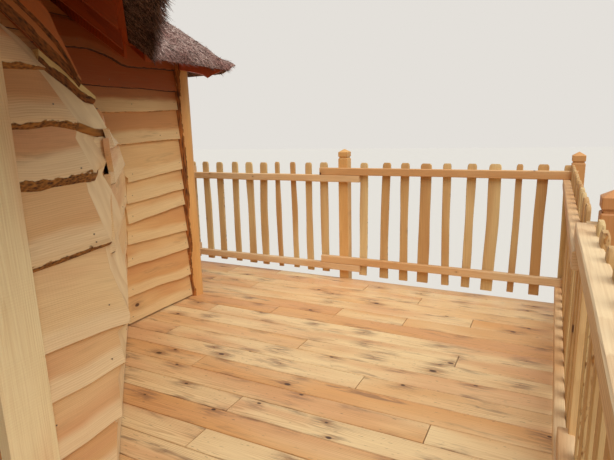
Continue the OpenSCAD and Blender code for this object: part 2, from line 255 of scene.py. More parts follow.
def make_piece(
    name: str, shape: Shape, finish: "Finish", replaces: Sequence[str] = (), sharp: float = 40.0,
) -> bpy.types.Object:
    """Puts a shape into a mesh object that rides on the frame.

    Args:
        name: The piece's name.
        shape: Its patches.
        finish: What it is made of.
        replaces: CAD nodes that it stands for.
        sharp: Edges that turn by more than this many degrees stay crisp.

    Returns:
        The object.
    """
    faces = np.concatenate(shape.faces)
    used = faces >= 0
    mesh = bpy.data.meshes.new(name)
    mesh.vertices.add(shape.count)
    mesh.vertices.foreach_set("co", (np.concatenate(shape.corners) + LAYOUT).astype(np.float32).ravel())
    mesh.loops.add(int(used.sum()))
    mesh.loops.foreach_set("vertex_index", faces[used].astype(np.int32))
    mesh.polygons.add(len(faces))
    starts = np.concatenate([[0], np.cumsum(used.sum(1))[:-1]])
    mesh.polygons.foreach_set("loop_start", starts.astype(np.int32))
    mesh.update(calc_edges=True)
    mesh.polygons.foreach_set("use_smooth", np.ones(len(faces), bool))
    mesh.attributes.new("grain", "FLOAT_VECTOR", "POINT").data.foreach_set(
        "vector", np.concatenate(shape.grain).astype(np.float32).ravel())
    for label in ("tone", "bark"):
        mesh.attributes.new(label, "FLOAT", "POINT").data.foreach_set(
            "value", np.concatenate(getattr(shape, label)).astype(np.float32))
    mesh.set_sharp_from_angle(angle=math.radians(sharp))
    mesh.materials.append(finish.material())
    piece = bpy.data.objects.new(name, mesh)
    bpy.context.scene.collection.objects.link(piece)
    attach(piece, "root")
    if replaces:
        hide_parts(*replaces)
    LOG.info("%s: %d faces", name, len(faces))
    return piece


def bar(
    shape: Shape, start: Array, end: Array, side: Array, width: float, depth: float, *,
    chamfer: float = 0.003, step: float = 0.08, wane: float = 0.0015, bow: float = 0.0, wave: float = 0.25,
    seed: float = 0.0, tone: float = 0.5, ends: Pair = (0.0, 0.0), taper: Points2 = EVEN, bark: float = 0.0,
) -> None:
    """Adds a sawn bar: a chamfered rectangle carried along a line, with wavering edges.

    At each station the rectangle's two edges move by their own noise times wane, and the whole of it
    moves sideways by bow times half a sine wave plus noise. The seed's multiples only set one bar's
    noise and grain apart from another's.

    Args:
        shape: Where it goes.
        start, end, side: Middles of its two ends, and the direction of its width.
        width, depth: Its width along side, and its other thickness.
        chamfer, step: How far its corners are cut back, and the distance between stations.
        wane, wave: How far its edges waver, and the length of a swing.
        bow: How far it bends sideways.
        seed: Sets it apart.
        tone: Its board tone.
        ends: How far each end's far corner is cut back, for a skewed cut.
        taper: Pairs of a share of its length and the scale of its section there.
        bark: How much bark its two edges carry.
    """
    start, end = np.asarray(start, float), np.asarray(end, float)
    length = float(np.linalg.norm(end - start))
    axis = (end - start) / length
    side = unit(np.asarray(side, float) - axis * np.dot(side, axis))
    third = np.cross(axis, side)
    stations, scales = zip(*taper)
    q = np.unique(np.append(np.linspace(0, 1, max(3, int(math.ceil(length / step)) + 1)), stations))
    s = q * length
    scale = np.interp(q, stations, scales)[:, None]
    c, w, d = min(chamfer, 0.3 * min(width, depth)), width / 2, depth / 2
    a, b = np.array([(-w, d - c), (c - w, d), (w - c, d), (w, d - c)]).T
    a, b = np.append(a, -a), np.append(b, -b)
    low, high = (wander(s, wave, seed * 3.1 + row, n)[:, None] * wane for row, n in ((0.3, 5), (1.7, 6)))
    half_sine = np.sin(math.pi * q) * math.copysign(1, math.sin(seed * 7.7))
    shift = bow * (half_sine + 0.5 * wander(s, wave * 2, seed, 7))
    across = scale * a + np.where(a < 0, low, high) + shift[:, None]
    through = scale * b + (wander(s, wave, seed + 0.9, 8) * wane * 0.4)[:, None]
    skew = np.interp(a, [-w, w], [0, 1])
    run = s[:, None] + (1 - q)[:, None] * skew * ends[0] - q[:, None] * skew * ends[1]
    rings = start + run[..., None] * axis + across[..., None] * side + through[..., None] * third
    grain = join(run + seed * 1.931, across, through + (seed * 0.713) % 5.0)
    shape.loft(rings, grain, tone, bark * (np.abs(a) > w - 1e-6))


def pole(
    shape: Shape, start: Array, end: Array, radius: float, *, sides: int = 16, step: float = 0.08,
    rough: float = 0.03, seed: float = 0.0, tone: float = 0.5, streak: float | None = None,
    flare: Points2 = EVEN, knots: float = 0.0,
) -> None:
    """Adds a peeled log: a circle carried along a line, its radius changed by noise around and along it.

    Where bark is left, it is 4 mm thick and fades from 24 to 40 degrees off the streak's angle.

    Args:
        shape: Where it goes.
        start, end, radius: Middles of its foot and its top, and its largest radius.
        sides, step: Points around it, and the distance between stations.
        rough: Share of the radius that the noise takes off.
        seed, tone: What sets it apart, and its board tone.
        streak: Angle about its axis, in degrees, where a strip of bark is left, or None.
        flare: Pairs of a share of its length and the scale of its radius there.
        knots: Height of the swellings round its knots.
    """
    start, end = np.asarray(start, float), np.asarray(end, float)
    length = float(np.linalg.norm(end - start))
    axis = (end - start) / length
    side = unit(np.cross(axis, [0.0, 1.0, 0.0] if abs(axis[2]) > 0.9 else UP))
    third = np.cross(axis, side)
    q = np.linspace(0, 1, max(4, int(math.ceil(length / step)) + 1))[:, None]
    s = q * length
    turn = (np.arange(sides)[None] + 0.5) * 2 * math.pi / sides
    place = join(s + seed * 3.3, np.cos(turn) * radius * 1.5 + seed, np.sin(turn) * radius * 1.5)
    dent = 0.5 + 0.5 * noise(place, (0.35, radius, radius), 11)
    fine = 0.5 + 0.5 * noise(place, (0.09, radius * 0.4, radius * 0.4), 12)
    swell = np.clip(noise(place, (0.22, radius * 0.8, radius * 0.8), 13) - 0.55, 0, 1) * knots
    scale = np.interp(q, *zip(*flare))
    r = np.minimum(radius * scale * (1 - rough * (0.7 * dent + 0.3 * fine)) + swell, radius)
    bark = np.zeros_like(r)
    if streak is not None:
        off = np.abs((np.degrees(turn) - streak + 180) % 360 - 180) + 20 * wander(s, 0.14, seed + 2, 15)
        bark = smooth((40 - off) / 16) * smooth(0.9 + wander(s, 0.35, seed + 5, 16))
    rings = start + q[..., None] * (end - start) + (r + 0.004 * bark)[..., None] * circle(turn, side, third)
    shape.loft(rings, join(s + seed * 1.7, turn * radius, r + (seed * 0.37) % 3), tone, bark)


# Finishes


def linear(hex_colour: str) -> tuple[float, float, float, float]:
    """Turns an sRGB hex colour into the linear colour that a shader socket takes.

    Args:
        hex_colour: Such as "#c08a4a".

    Returns:
        Red, green, blue and 1.
    """
    srgb = [int(hex_colour[i:i + 2], 16) / 255 for i in (1, 3, 5)]
    return (*[c / 12.92 if c <= 0.04045 else ((c + 0.055) / 1.055) ** 2.4 for c in srgb], 1.0)


# Short names for a node's type with the settings that it most often has
SET_KINDS: dict[str, tuple[str, dict[str, str]]] = {
    "times": ("Math", {"operation": "MULTIPLY"}), "times_plus": ("Math", {"operation": "MULTIPLY_ADD"}),
    "plus": ("Math", {"operation": "ADD"}), "less": ("Math", {"operation": "SUBTRACT"}),
    "over": ("Math", {"operation": "DIVIDE"}), "larger": ("Math", {"operation": "MAXIMUM"}),
    "scaled": ("VectorMath", {"operation": "MULTIPLY"}), "offset": ("VectorMath", {"operation": "SUBTRACT"}),
    "soft": ("MapRange", {"interpolation_type": "SMOOTHSTEP"}), "tint": ("Mix", {"data_type": "RGBA"})}


@dataclass(frozen=True)
class Graph:
    """A node tree, with one way to add to it.

    Attributes:
        tree: The node tree.
    """

    tree: bpy.types.NodeTree

    def add(
        self, kind: str, *inputs: object, pick: int | str = 0, named: dict | None = None, **settings: object,
    ) -> Socket | None:
        """Adds a node, sets it and links it.

        Args:
            kind: A short name, or the node's type name without the word ShaderNode that it starts with.
            inputs: For each input in use, in order: a socket to link, a value to set, a colour in hex to
                turn to linear and set, or None to leave it.
            pick: Name of the output wanted, or its number among those in use.
            named: More inputs, by name.
            settings: The node's own properties.

        Returns:
            The output, or None from a node without one.
        """
        kind, usual = SET_KINDS.get(kind, (kind, {}))
        made = self.tree.nodes.new("ShaderNode" + kind)
        for key, value in {**usual, **settings}.items():
            setattr(made, key, value)
        in_use = [s for s in made.inputs if s.enabled]
        pairs = [*zip(in_use, inputs), *((made.inputs[k], v) for k, v in (named or {}).items())]
        for socket, value in pairs:
            if isinstance(value, bpy.types.NodeSocket):
                self.tree.links.new(value, socket)
            elif value is not None:
                socket.default_value = linear(value) if isinstance(value, str) else value
        if isinstance(pick, str):
            return made.outputs[pick]
        outputs = [s for s in made.outputs if s.enabled]
        return outputs[pick] if outputs else None


class Finish:
    """What a piece is made of. Its material is built once, when first asked for.

    Attributes:
        name: The material's name.
    """

    name: str

    def material(self) -> bpy.types.Material:
        """Finds the finish's material by its name, or builds it.

        Returns:
            The material.
        """
        found = bpy.data.materials.get(self.name)
        if found is None:
            found = bpy.data.materials.new(self.name)
            found.use_nodes = True
            found.node_tree.nodes.clear()
            graph = Graph(found.node_tree)
            graph.add("OutputMaterial", self.shader(graph.add))
        return found

    def shader(self, add: Adder) -> Socket:
        """Builds the nodes with a graph's add and returns the surface's socket."""
        raise NotImplementedError


class Lie(Enum):
    """Where a timber finish reads its grain: the piece's own attribute, or Object coordinates turned."""

    PIECE = None
    ALONG_X = (0.0, 0.0, 0.0)
    ALONG_Y = (0.0, 0.0, math.pi / 2)


@dataclass(frozen=True)
class Timber(Finish):
    """Softwood boards and bars: growth rings, knots, sapwood, stains, saw marks and bark.

    Attributes:
        name: The material's name.
        pale, warm: Colours of the palest and the warmest boards.
        heart, sap: Colours of patches of heartwood and of the sapwood strip beside a live edge.
        deep: Colour that board tones from 1 to 2 turn to, the sapwood strip last, or an empty name. On
            the cladding's upper boards it is painted shade.
        late, knot, smudge: Colours of dark rings, of knots and of the soft stain round a knot.
        bark_dark, bark_light: Colours of the bark's hollows and of its scales.
        ring, ring_depth: Distance between rings, in metres, and how dark they are, from 0 to 1.
        drift: How far a board's tone changes along it, from 0 to 1.
        sap_width: Width of the sapwood strip, in metres, or 0.
        knots, knot_r: Share of knot cells that hold one, and a third of the largest one's radius.
        stain, dashes: How dark the smudges and the short pitch pockets along the grain are.
        saw, saw_pitch: Depth of the saw marks, from 0 to 1, and the distance between them, in metres.
        roughness, flake: Its roughness, and the scales of bark in a metre along the grain.
        lie: Where it reads its grain.
    """

    name: str
    pale: str = "#e0bd8c"
    warm: str = "#d3965a"
    heart: str = "#cf9266"
    sap: str = "#e8cd9e"
    deep: str = ""
    late: str = "#a8683a"
    knot: str = "#5e3820"
    smudge: str = "#7d5a3a"
    bark_dark: str = "#472812"
    bark_light: str = "#b57a3c"
    ring: float = 0.009
    ring_depth: float = 0.3
    drift: float = 0.5
    sap_width: float = 0.0
    knots: float = 0.4
    knot_r: float = 0.005
    stain: float = 0.0
    dashes: float = 0.0
    saw: float = 0.0
    saw_pitch: float = 0.006
    roughness: float = 0.6
    flake: float = 70.0
    lie: Lie = Lie.PIECE

    def shader(self, add: Adder) -> Socket:
        """Colour and relief from grain coordinates, part by part as the comments say.

        Args:
            add: Adds a node to the material's tree.

        Returns:
            The surface's socket.
        """
        if self.lie is Lie.PIECE:
            grain = add("Attribute", pick="Vector", attribute_name="grain")
            tone = add("Attribute", pick="Fac", attribute_name="tone")
        else:
            grain = add("Mapping", add("TexCoord", pick="Object"), None, self.lie.value)
            tone = add("TexNoise", add("Mapping", grain, None, None, (0.15, 2.1, 2.1)), 1.0, 0.0)
        x, y, z = add("SeparateXYZ", grain).node.outputs

        def cloud(per_x: float, per_y: float, detail: float = 2.0, shift: float = 0.0) -> Socket:
            """Noise with per_x swings a metre along the grain and per_y across it."""
            place = add("Mapping", grain, (shift,) * 3, None, (per_x, per_y, per_y))
            return add("TexNoise", place, 1.0, detail)

        # Knots: one point in each cell of 0.42 by 0.13 m, 1.6 times as long as wide
        spot = add("scaled", grain, (1 / 0.42, 1 / 0.13, 0.0))
        cells = add("TexVoronoi", spot, 1.0, named={"Randomness": 0.85}, voronoi_dimensions="2D").node.outputs
        luck, size = add("SeparateColor", cells["Color"]).node.outputs[:2]
        there = add("Math", luck, self.knots, operation="LESS_THAN")
        gap = add("scaled", add("offset", cells["Position"], spot), (0.26, 0.13, 0.0))
        away = add("VectorMath", gap, operation="LENGTH", pick="Value")
        away = add("times_plus", cloud(60, 90), 0.006, away)
        radius = add("times", add("times_plus", size, self.knot_r * 2, self.knot_r), there)
        ratio = add("over", away, add("plus", radius, 0.0001))
        inside = add("soft", ratio, 1.25, 0.75)
        halo = add("soft", ratio, 3.6, 0.9)

        # Rings: a board cut from a cone, so lines lie at equal steps of sqrt(y^2 + pith^2) + taper x
        across = add("times_plus", cloud(1.1, 3.0, 1.0, 3.1), 0.06, y)
        across = add("times_plus", halo, 0.011, across)
        cone = add("VectorMath", add("CombineXYZ", across, 0.03), operation="LENGTH", pick="Value")
        cone = add("times_plus", add("plus", x, z), 0.02, cone)
        cone = add("times_plus", cloud(5, 40, 2.0, 1.7), 0.006, cone)
        band = add("Math", add("over", cone, self.ring), operation="FRACT")
        fall = add("soft", band, 1.0, 0.93)
        dark = add("times", add("soft", band, 0.35, 0.92), fall)
        clear = add("soft", cloud(1.3, 7, 1.0, 4.9), 0.38, 0.62, 0.25, 1.0)
        dark = add("times", dark, clear)
        fibre = cloud(5, 260, 2.0, 9.2)

        # Colour: board tone, heartwood, sapwood, rings, fibres, stains and knots, one over the other
        swing = add("less", cloud(0.9, 3.5, 2.0, 8.1), 0.5)
        tone = add("times_plus", swing, self.drift * 2, tone)
        colour = add("tint", add("soft", tone, 0.12, 0.88), self.pale, self.warm)
        patch = add("soft", cloud(0.9, 5.0, 2.0, 5.5), 0.42, 0.68)
        colour = add("tint", add("times", patch, 0.75), colour, self.heart)
        if self.sap_width:
            edge = add("times_plus", add("less", cloud(2.5, 8), 0.5), 0.09, y)
            strip = add("soft", edge, self.sap_width + 0.026, self.sap_width - 0.020)
            colour = add("tint", add("times", strip, 0.85), colour, self.sap)
            tone = add("times_plus", strip, -0.8, tone)
        # Tones above 1 turn to the deep colour; on the cladding's upper boards this is painted shade
        if self.deep:
            colour = add("tint", add("MapRange", tone, 1.0, 2.0), colour, self.deep)
        colour = add("tint", add("times", dark, self.ring_depth), colour, self.late)
        streaks = add("soft", fibre, 0.35, 0.75)
        colour = add("tint", add("times", streaks, 0.22), colour, self.late)
        if self.stain:
            blot = add("times", add("soft", away, 0.085, 0.012), there)
            ragged = add("soft", cloud(9, 60, 5.0, 6.6), 0.36, 0.60)
            drawn = add("soft", cloud(2.2, 11, 5.0, 2.3), 0.56, 0.72)
            blot = add("times", add("larger", blot, drawn), ragged)
            colour = add("tint", add("times", blot, self.stain), colour, self.smudge)
        if self.dashes:
            dash = add("soft", cloud(24, 150, 1.0, 3.9), 0.70, 0.76)
            colour = add("tint", add("times", dash, self.dashes), colour, self.knot)
        colour = add("tint", add("times", halo, 0.35), colour, self.late)
        colour = add("tint", inside, colour, self.knot)
        relief = add("times_plus", fibre, 0.5, add("times", dark, -0.25))
        relief = add("times_plus", inside, -0.4, relief)

        # Saw marks: a sine along the grain whose lines waver, stronger in patches
        if self.saw:
            wobble = add("times", cloud(6, 1.5, 1.0, 4.4), 4.5)
            tooth = add("times_plus", x, 2 * math.pi / self.saw_pitch, wobble)
            cut = add("times", add("soft", cloud(9, 2, 1.0, 6.1), 0.3, 0.6), self.saw)
            mark = add("times", add("Math", tooth, operation="SINE"), cut)
            relief = add("times_plus", mark, 0.5, relief)
            shade = add("times", add("soft", mark, 0.1, 0.9), 0.22)
            colour = add("tint", shade, colour, self.late)
        rough = add("times_plus", fibre, 0.2, self.roughness - 0.1)

        # Bark: where its attribute and noise together pass 0.9, in scales with noise between them
        if self.lie is Lie.PIECE:
            scale = add("TexVoronoi", add("Mapping", grain, None, None, (self.flake, 120, 120)), 1.0)
            crust = add("times", cloud(0.43 * self.flake, 90, 4.0, 5.2), 0.6)
            crust = add("MapRange", add("times_plus", scale, 0.40, crust), 0.30, 0.66)
            bark = add("Attribute", pick="Fac", attribute_name="bark")
            bark = add("times_plus", cloud(30, 60, 3.0, 7.7), 0.9, bark)
            skin = add("soft", bark, 0.87, 1.01)
            scales = add("tint", crust, self.bark_dark, self.bark_light)
            colour = add("tint", skin, colour, scales)
            relief = add("times_plus", skin, add("times", crust, 3.0), relief)
            rough = add("larger", rough, add("times", skin, 0.9))
        bump = add("Bump", 0.55, 0.0016, named={"Height": relief})
        return add("BsdfPrincipled", named={"Base Color": colour, "Roughness": rough, "Normal": bump})


@dataclass(frozen=True)
class Lining(Finish):
    """Tongued boards on Object coordinates, for the CAD's walls, floor and porch roof.

    Attributes:
        name: The material's name.
        pale, warm: Colours of the palest and the warmest boards.
        dark: Colour of the streaks.
        groove: Colour of the joints.
        pitch: Width of a board, in metres.
        rise, run: The shares of x, y and z that count across the boards and along them.
    """

    name: str
    pale: str = "#d9a468"
    warm: str = "#b8703a"
    dark: str = "#8f5226"
    groove: str = "#3b2012"
    pitch: float = 0.12
    rise: Triple = (0.0, 0.0, 1.0)
    run: Triple = (0.8, -0.6, 0.0)

    def shader(self, add: Adder) -> Socket:
        """A dark groove at each board's edge, a tone for each board, and streaks along it.

        Args:
            add: Adds a node to the material's tree.

        Returns:
            The surface's socket.
        """
        place = add("TexCoord", pick="Object")
        up = add("VectorMath", place, self.rise, operation="DOT_PRODUCT")
        along = add("VectorMath", place, self.run, operation="DOT_PRODUCT")
        row = add("over", up, self.pitch)
        board = add("Math", row, operation="FLOOR")
        tone = add("TexWhiteNoise", board, noise_dimensions="1D")
        spread = add("CombineXYZ", add("times", along, 3.0), add("times", up, 130.0), board)
        fibre = add("TexNoise", spread, 1.0, 3.0)
        off = add("Math", add("less", add("Math", row, operation="FRACT"), 0.5), operation="ABSOLUTE")
        groove = add("soft", off, 0.475, 0.497)
        colour = add("tint", tone, self.pale, self.warm)
        streaks = add("times", add("soft", fibre, 0.4, 0.7), 0.35)
        colour = add("tint", streaks, colour, self.dark)
        colour = add("tint", groove, colour, self.groove)
        relief = add("times_plus", groove, -2.0, add("times", fibre, 0.2))
        bump = add("Bump", 0.6, 0.002, named={"Height": relief})
        return add("BsdfPrincipled", named={"Base Color": colour, "Roughness": 0.6, "Normal": bump})


@dataclass(frozen=True)
class Heather(Finish):
    """Bundled heather stems: dry brown to pinkish grey twigs, matt and broken.

    Attributes:
        name: The material's name.
        dark, mid, pale: Colours between the stems, which paint their shade, of most stems and of the
            palest ones.
        rosy: What broad patches are tinted with.
    """

    name: str = "heather_brush"
    dark: str = "#35241c"
    mid: str = "#ba9b92"
    pale: str = "#ead9cd"
    rosy: str = "#dcbfbb"

    def shader(self, add: Adder) -> Socket:
        """Each straw takes its colour from its tone; noise on Object coordinates breaks up the ground.

        Args:
            add: Adds a node to the material's tree.

        Returns:
            The surface's socket.
        """
        tone = add("Attribute", pick="Fac", attribute_name="tone")
        place = add("TexCoord", pick="Object")
        fine = add("TexNoise", place, 90.0, 4.0)
        broad = add("soft", add("TexNoise", place, 3.0, 2.0), 0.4, 0.7)
        share = add("times_plus", add("less", fine, 0.5), 0.5, tone)
        colour = add("tint", add("soft", share, 0.0, 0.5), self.dark, self.mid)
        colour = add("tint", add("soft", share, 0.6, 1.1), colour, self.pale)
        colour = add("tint", broad, colour, self.rosy, blend_type="MULTIPLY")
        bump = add("Bump", 0.8, 0.006, named={"Height": fine})
        return add("BsdfPrincipled", named={
            "Base Color": colour, "Roughness": 0.9, "Specular IOR Level": 0.25, "Normal": bump})


@dataclass(frozen=True)
class Steel(Finish):
    """Mild steel nails, dulled by the weather to a brownish grey, with faint mottling.

    Attributes:
        name: The material's name.
        colour, dull: Its colour, and what the mottling darkens it to.
        roughness: Its roughness.
        mottle: Swings of the mottling in a metre.
    """

    name: str = "nail_steel"
    colour: str = "#8b7a68"
    dull: str = "#6d6358"
    roughness: float = 0.45
    mottle: float = 40.0

    def shader(self, add: Adder) -> Socket:
        """The colour, darkened a little by noise.

        Args:
            add: Adds a node to the material's tree.

        Returns:
            The surface's socket.
        """
        share = add("times", add("TexNoise", add("TexCoord", pick="Object"), self.mottle), 0.12)
        colour = add("tint", share, self.colour, self.dull)
        return add("BsdfPrincipled", named={
            "Base Color": colour, "Roughness": self.roughness, "Metallic": 1.0})


@dataclass(frozen=True)
class PaleFloor(Finish):
    """The studio's floor: pale where it is seen, and mid grey for the light that it throws back.

    Attributes:
        name: The material's name.
        seen, thrown: Its colour for camera, glossy and transmission rays, and for all others.
    """

    name: str = "studio_floor_pale"
    seen: str = "#d8d5d1"
    thrown: str = "#8f8a7e"

    def shader(self, add: Adder) -> Socket:
        """A matt surface, which keeps the object's shadow."""
        colour = add("tint", seen_rays(add), self.thrown, self.seen)
        return add("BsdfPrincipled", named={"Base Color": colour, "Roughness": 0.9})


def seen_rays(add: Adder) -> Socket:
    """1 for camera, glossy and transmission rays, and 0 for the rest.

    Args:
        add: Adds a node to a tree.

    Returns:
        The number's socket.
    """
    path = add("LightPath").node.outputs
    mirrored = add("larger", path["Is Glossy Ray"], path["Is Transmission Ray"])
    return add("larger", path["Is Camera Ray"], mirrored)


# Larch deck boards, planed and oiled: golden, smudged grey-brown round the knots, with a low sheen
DECK_LARCH = Timber(
    "deck_larch_oiled", pale="#f6d8a4", warm="#e3aa6c", heart="#dea674", late="#ac7440", knot="#4d301e",
    smudge="#7b5643", ring=0.008, ring_depth=0.4, drift=0.8, knots=0.62, stain=0.68, dashes=0.55,
    roughness=0.45)
# Douglas fir rails, sawn and oiled: orange-tan faces with pale streaks
RAIL_FIR = Timber(
    "rail_fir_sawn", pale="#f2d6aa", warm="#d9a66c", heart="#d0975c", late="#a9713f", ring=0.007, knots=0.35,
    saw=0.35, saw_pitch=0.009)
# Square posts from the middle of the log: warmer than the rails, with dark end grain at the cap
POST_FIR = Timber(
    "post_fir_planed", pale="#efcb92", warm="#e5b472", heart="#dca866", deep="#bd6a38", late="#b0743a",
    ring=0.006, drift=0.3, knots=0.3, roughness=0.55)
# Waney slats cut from thin stems: pale, some with a red-brown line of inner bark
SLAT_FIR = Timber(
    "slat_fir_waney", pale="#e5c890", warm="#cea268", heart="#c4925a", late="#9c6f3e", ring=0.008,
    ring_depth=0.25, knots=0.2, roughness=0.65)
# Live-edge cladding, rough sawn: rosy heartwood, a pale sapwood strip and bark on its lower edge
# Its deep colour, which board tones above 1 turn to, is painted shade for the upper boards under the eaves
CLAD_FIR = Timber(
    "cladding_fir_live_edge", pale="#edcc98", warm="#dcab74", heart="#d79e70", sap="#f1d7aa", deep="#a24e10",
    late="#b07c4e", bark_dark="#3a1f0d", bark_light="#a97234", ring=0.007, ring_depth=0.24, sap_width=0.075,
    knots=0.07, stain=0.3, saw=0.2, saw_pitch=0.012, roughness=0.66)
# The front's boards: the same, more golden, partly as painted warm light bounced into the eaves' shade
# Their near-black bark also paints the shadow line under each board's lower edge
FRONT_FIR = replace(
    CLAD_FIR, name="cladding_fir_golden", pale="#edc78c", warm="#dca567", heart="#d4965c", sap="#efd09a",
    bark_dark="#241006", bark_light="#5c3010")
# The trims down the gable's edge, as rough as the cladding; their browns and dark bark are painted shade
RAKE_FIR = replace(
    CLAD_FIR, name="rake_fir_live_edge", pale="#dcc080", warm="#b25c12", heart="#b8641c", sap_width=0.0,
    drift=0.15, bark_dark="#2f1a0c", bark_light="#8a5426")
# The jamb and head planks, fresh from the saw: pale, with fine lines across them
JAMB_FIR = Timber(
    "jamb_fir_sawn", pale="#f6e4b6", warm="#efd49e", heart="#e8b98a", late="#c79a58", ring=0.008,
    ring_depth=0.16, knots=0.04, saw=0.45, saw_pitch=0.010, roughness=0.7)
# Peeled and oiled logs: honey, smooth, with a strip of dark red-brown bark left on
LOG_FIR = Timber(
    "log_fir_peeled", pale="#f0bc74", warm="#dc9e5a", heart="#d89852", late="#a0662c", bark_dark="#30140a",
    bark_light="#bd7436", flake=14.0, ring=0.012, ring_depth=0.25, knots=0.3, roughness=0.5)
# Boards, rafters and hip boards under the thatch: planed, deep orange-red
SOFFIT_FIR = Timber(
    "soffit_fir_planed", pale="#d06a24", warm="#b85018", heart="#ae4610", late="#6e2608", ring=0.008,
    ring_depth=0.35, knots=0.3, roughness=0.55)
HIP_FIR = replace(SOFFIT_FIR, name="hip_fir_planed", lie=Lie.ALONG_X)
# Joists and bearers, rough sawn
FRAME_FIR_X = Timber(
    "frame_fir_sawn_x", pale="#cf9c62", warm="#b27a45", heart="#a86f3c", late="#7d4c24", saw=0.4,
    roughness=0.7, lie=Lie.ALONG_X)
FRAME_FIR_Y = replace(FRAME_FIR_X, name="frame_fir_sawn_y", lie=Lie.ALONG_Y)
# Planed tongued boards: the walls' inner sides, the floor and the porch's roof
WALL_LINING = Lining("wall_lining_fir")
FLOOR_LINING = Lining(
    "floor_boards_fir", pale="#cf9a5e", warm="#b67a44", rise=(1.0, 0.0, 0.0), run=(0.0, 1.0, 0.0))
PORCH_LINING = Lining(
    "porch_roof_boards_fir", pale="#c9722f", warm="#a34c1c", pitch=0.14, rise=(0.0, 0.0, 1.15),
    run=(0.7, 0.7, 0.0))
HEATHER = Heather()
NAIL_STEEL = Steel()
STUDIO_FLOOR = PaleFloor()


# Platform


@dataclass
class Platform:
    """Legs, braces, bearers, joists and deck boards.

    Attributes:
        low_x, high_x, low_y, high_y: Edges of the deck.
        board, joint, thick: Pitch of the deck boards, the gap between two and their thickness.
        seam: y of one seam that the photograph shows.
        joists: x of the joists that butt joints lie over, in a row's right half and its left half.
        joints: For rows numbered from that seam, x of the butt joints that the photograph shows.
        tones: Board tones of those rows.
        leg_h, leg_r, leg_inset: A leg's height, its radius and its distance in from the deck's edges.
        brace_reach, brace_t: How far a brace reaches along its bearer, and its thickness.
    """

    low_x: float = -5.340
    high_x: float = 0.046
    low_y: float = -6.170
    high_y: float = 0.046
    board: float = 0.150
    joint: float = 0.005
    thick: float = 0.028
    seam: float = -2.013
    joists: tuple[tuple[float, ...], ...] = (
        (-0.493, -0.925, -1.424, -1.89, -2.36), (-2.83, -3.29, -3.76, -4.22, -4.68))
    joints: dict[int, tuple[float, ...]] = field(default_factory=lambda: {
        12: (-1.426,), 11: (-0.929,), 10: (-2.36,), 9: (-0.497,), 8: (-1.424, -0.925), 7: (-1.89,),
        6: (-2.36,), 5: (-0.493,), 4: (-1.423,), 3: (-2.36,), 2: (-0.921,), 1: (-1.89,), 0: (-0.493,),
        -1: (-1.424,), -2: (-0.493,)})
    tones: dict[int, float] = field(default_factory=lambda: {
        13: 0.35, 12: 0.2, 11: 0.3, 10: 0.45, 9: 0.35, 8: 0.6, 7: 0.75, 6: 0.3, 5: 0.2, 4: 0.35, 3: 0.15,
        2: 0.25, 1: 0.75, 0: 0.45, -1: 0.15, -2: 0.7, -3: 0.3})
    leg_h: float = 2.022
    leg_r: float = 0.110
    leg_inset: float = 0.350
    brace_reach: float = 0.620
    brace_t: float = 0.080

    def build(self) -> None:
        """Builds the deck boards, the legs and their braces."""
        self.deck_boards()
        self.leg_row("near", self.low_y + self.leg_inset)
        self.leg_row("middle", (self.low_y + self.high_y) / 2)
        self.leg_row("far", self.high_y - self.leg_inset)

    def deck_boards(self) -> None:
        """Lays boards along x, one row for each pitch in y, cut at the butt joints over the joists."""
        shape = Shape()
        rng = np.random.default_rng(11)
        first = math.floor((self.low_y - self.seam) / self.board)
        last = math.ceil((self.high_y - self.seam) / self.board)
        gap, z = self.joint / 2, -self.thick / 2
        for row in range(first, last):
            low = max(self.low_y, self.seam + row * self.board + gap)
            high = min(self.high_y, self.seam + (row + 1) * self.board - gap)
            y = (low + high) / 2
            cuts = [*self.joints.get(row, (rng.choice(self.joists[0]),)), rng.choice(self.joists[1])]
            ends = [self.high_x, *sorted(cuts, reverse=True), self.low_x]
            tone = self.tones.get(row, rng.uniform(0.1, 0.9))
            for i, (right, left) in enumerate(zip(ends, ends[1:])):
                right -= gap if i else 0.0
                left += gap if i < len(ends) - 2 else 0.0
                bar(shape, (left, y, z), (right, y, z), (0, 1, 0), high - low, self.thick, chamfer=0.0022,
                    step=0.3, wane=0.0006, seed=row * 1.71 + i * 5.3 + 40,
                    tone=np.clip(tone + rng.uniform(-0.12, 0.12), 0, 1))
        make_piece("deck_boards", shape, DECK_LARCH, ["deck"])

    def leg_row(self, part: str, y: float) -> None:
        """Stands three peeled logs in a row, with a round brace on each side that has a bearer to hold.

        Args:
            part: Which legs they are.
            y: Where the row stands.
        """
        shape = Shape()
        foot, top, half = -LAYOUT[2], self.leg_h - LAYOUT[2], self.brace_t / math.sqrt(2)
        inside = self.leg_r * 0.55
        xs = (self.low_x + self.leg_inset, (self.low_x + self.high_x) / 2, self.high_x - self.leg_inset)
        for i, (x, ways) in enumerate(zip(xs, ((1,), (-1, 1), (-1,)))):
            seed = 3.7 * i + y
            pole(shape, (x, y, foot), (x, y, top), self.leg_r, seed=seed, tone=0.4 + 0.1 * i, rough=0.09,
                 step=0.07, sides=20, knots=0.006, streak=70.0 * i + 20, flare=((0, 1.0), (1, 0.93)))
            for way in ways:
                low = (x + way * inside, y, top - self.brace_reach - half + inside)
                high = (x + way * (self.brace_reach + half - 0.03), y, top - 0.03)
                pole(shape, low, high, self.brace_t / 2, sides=12, seed=seed + way, rough=0.08, knots=0.003)
        make_piece(f"leg_logs_{part}", shape, LOG_FIR, [f"legs_{part}"])


# Railing


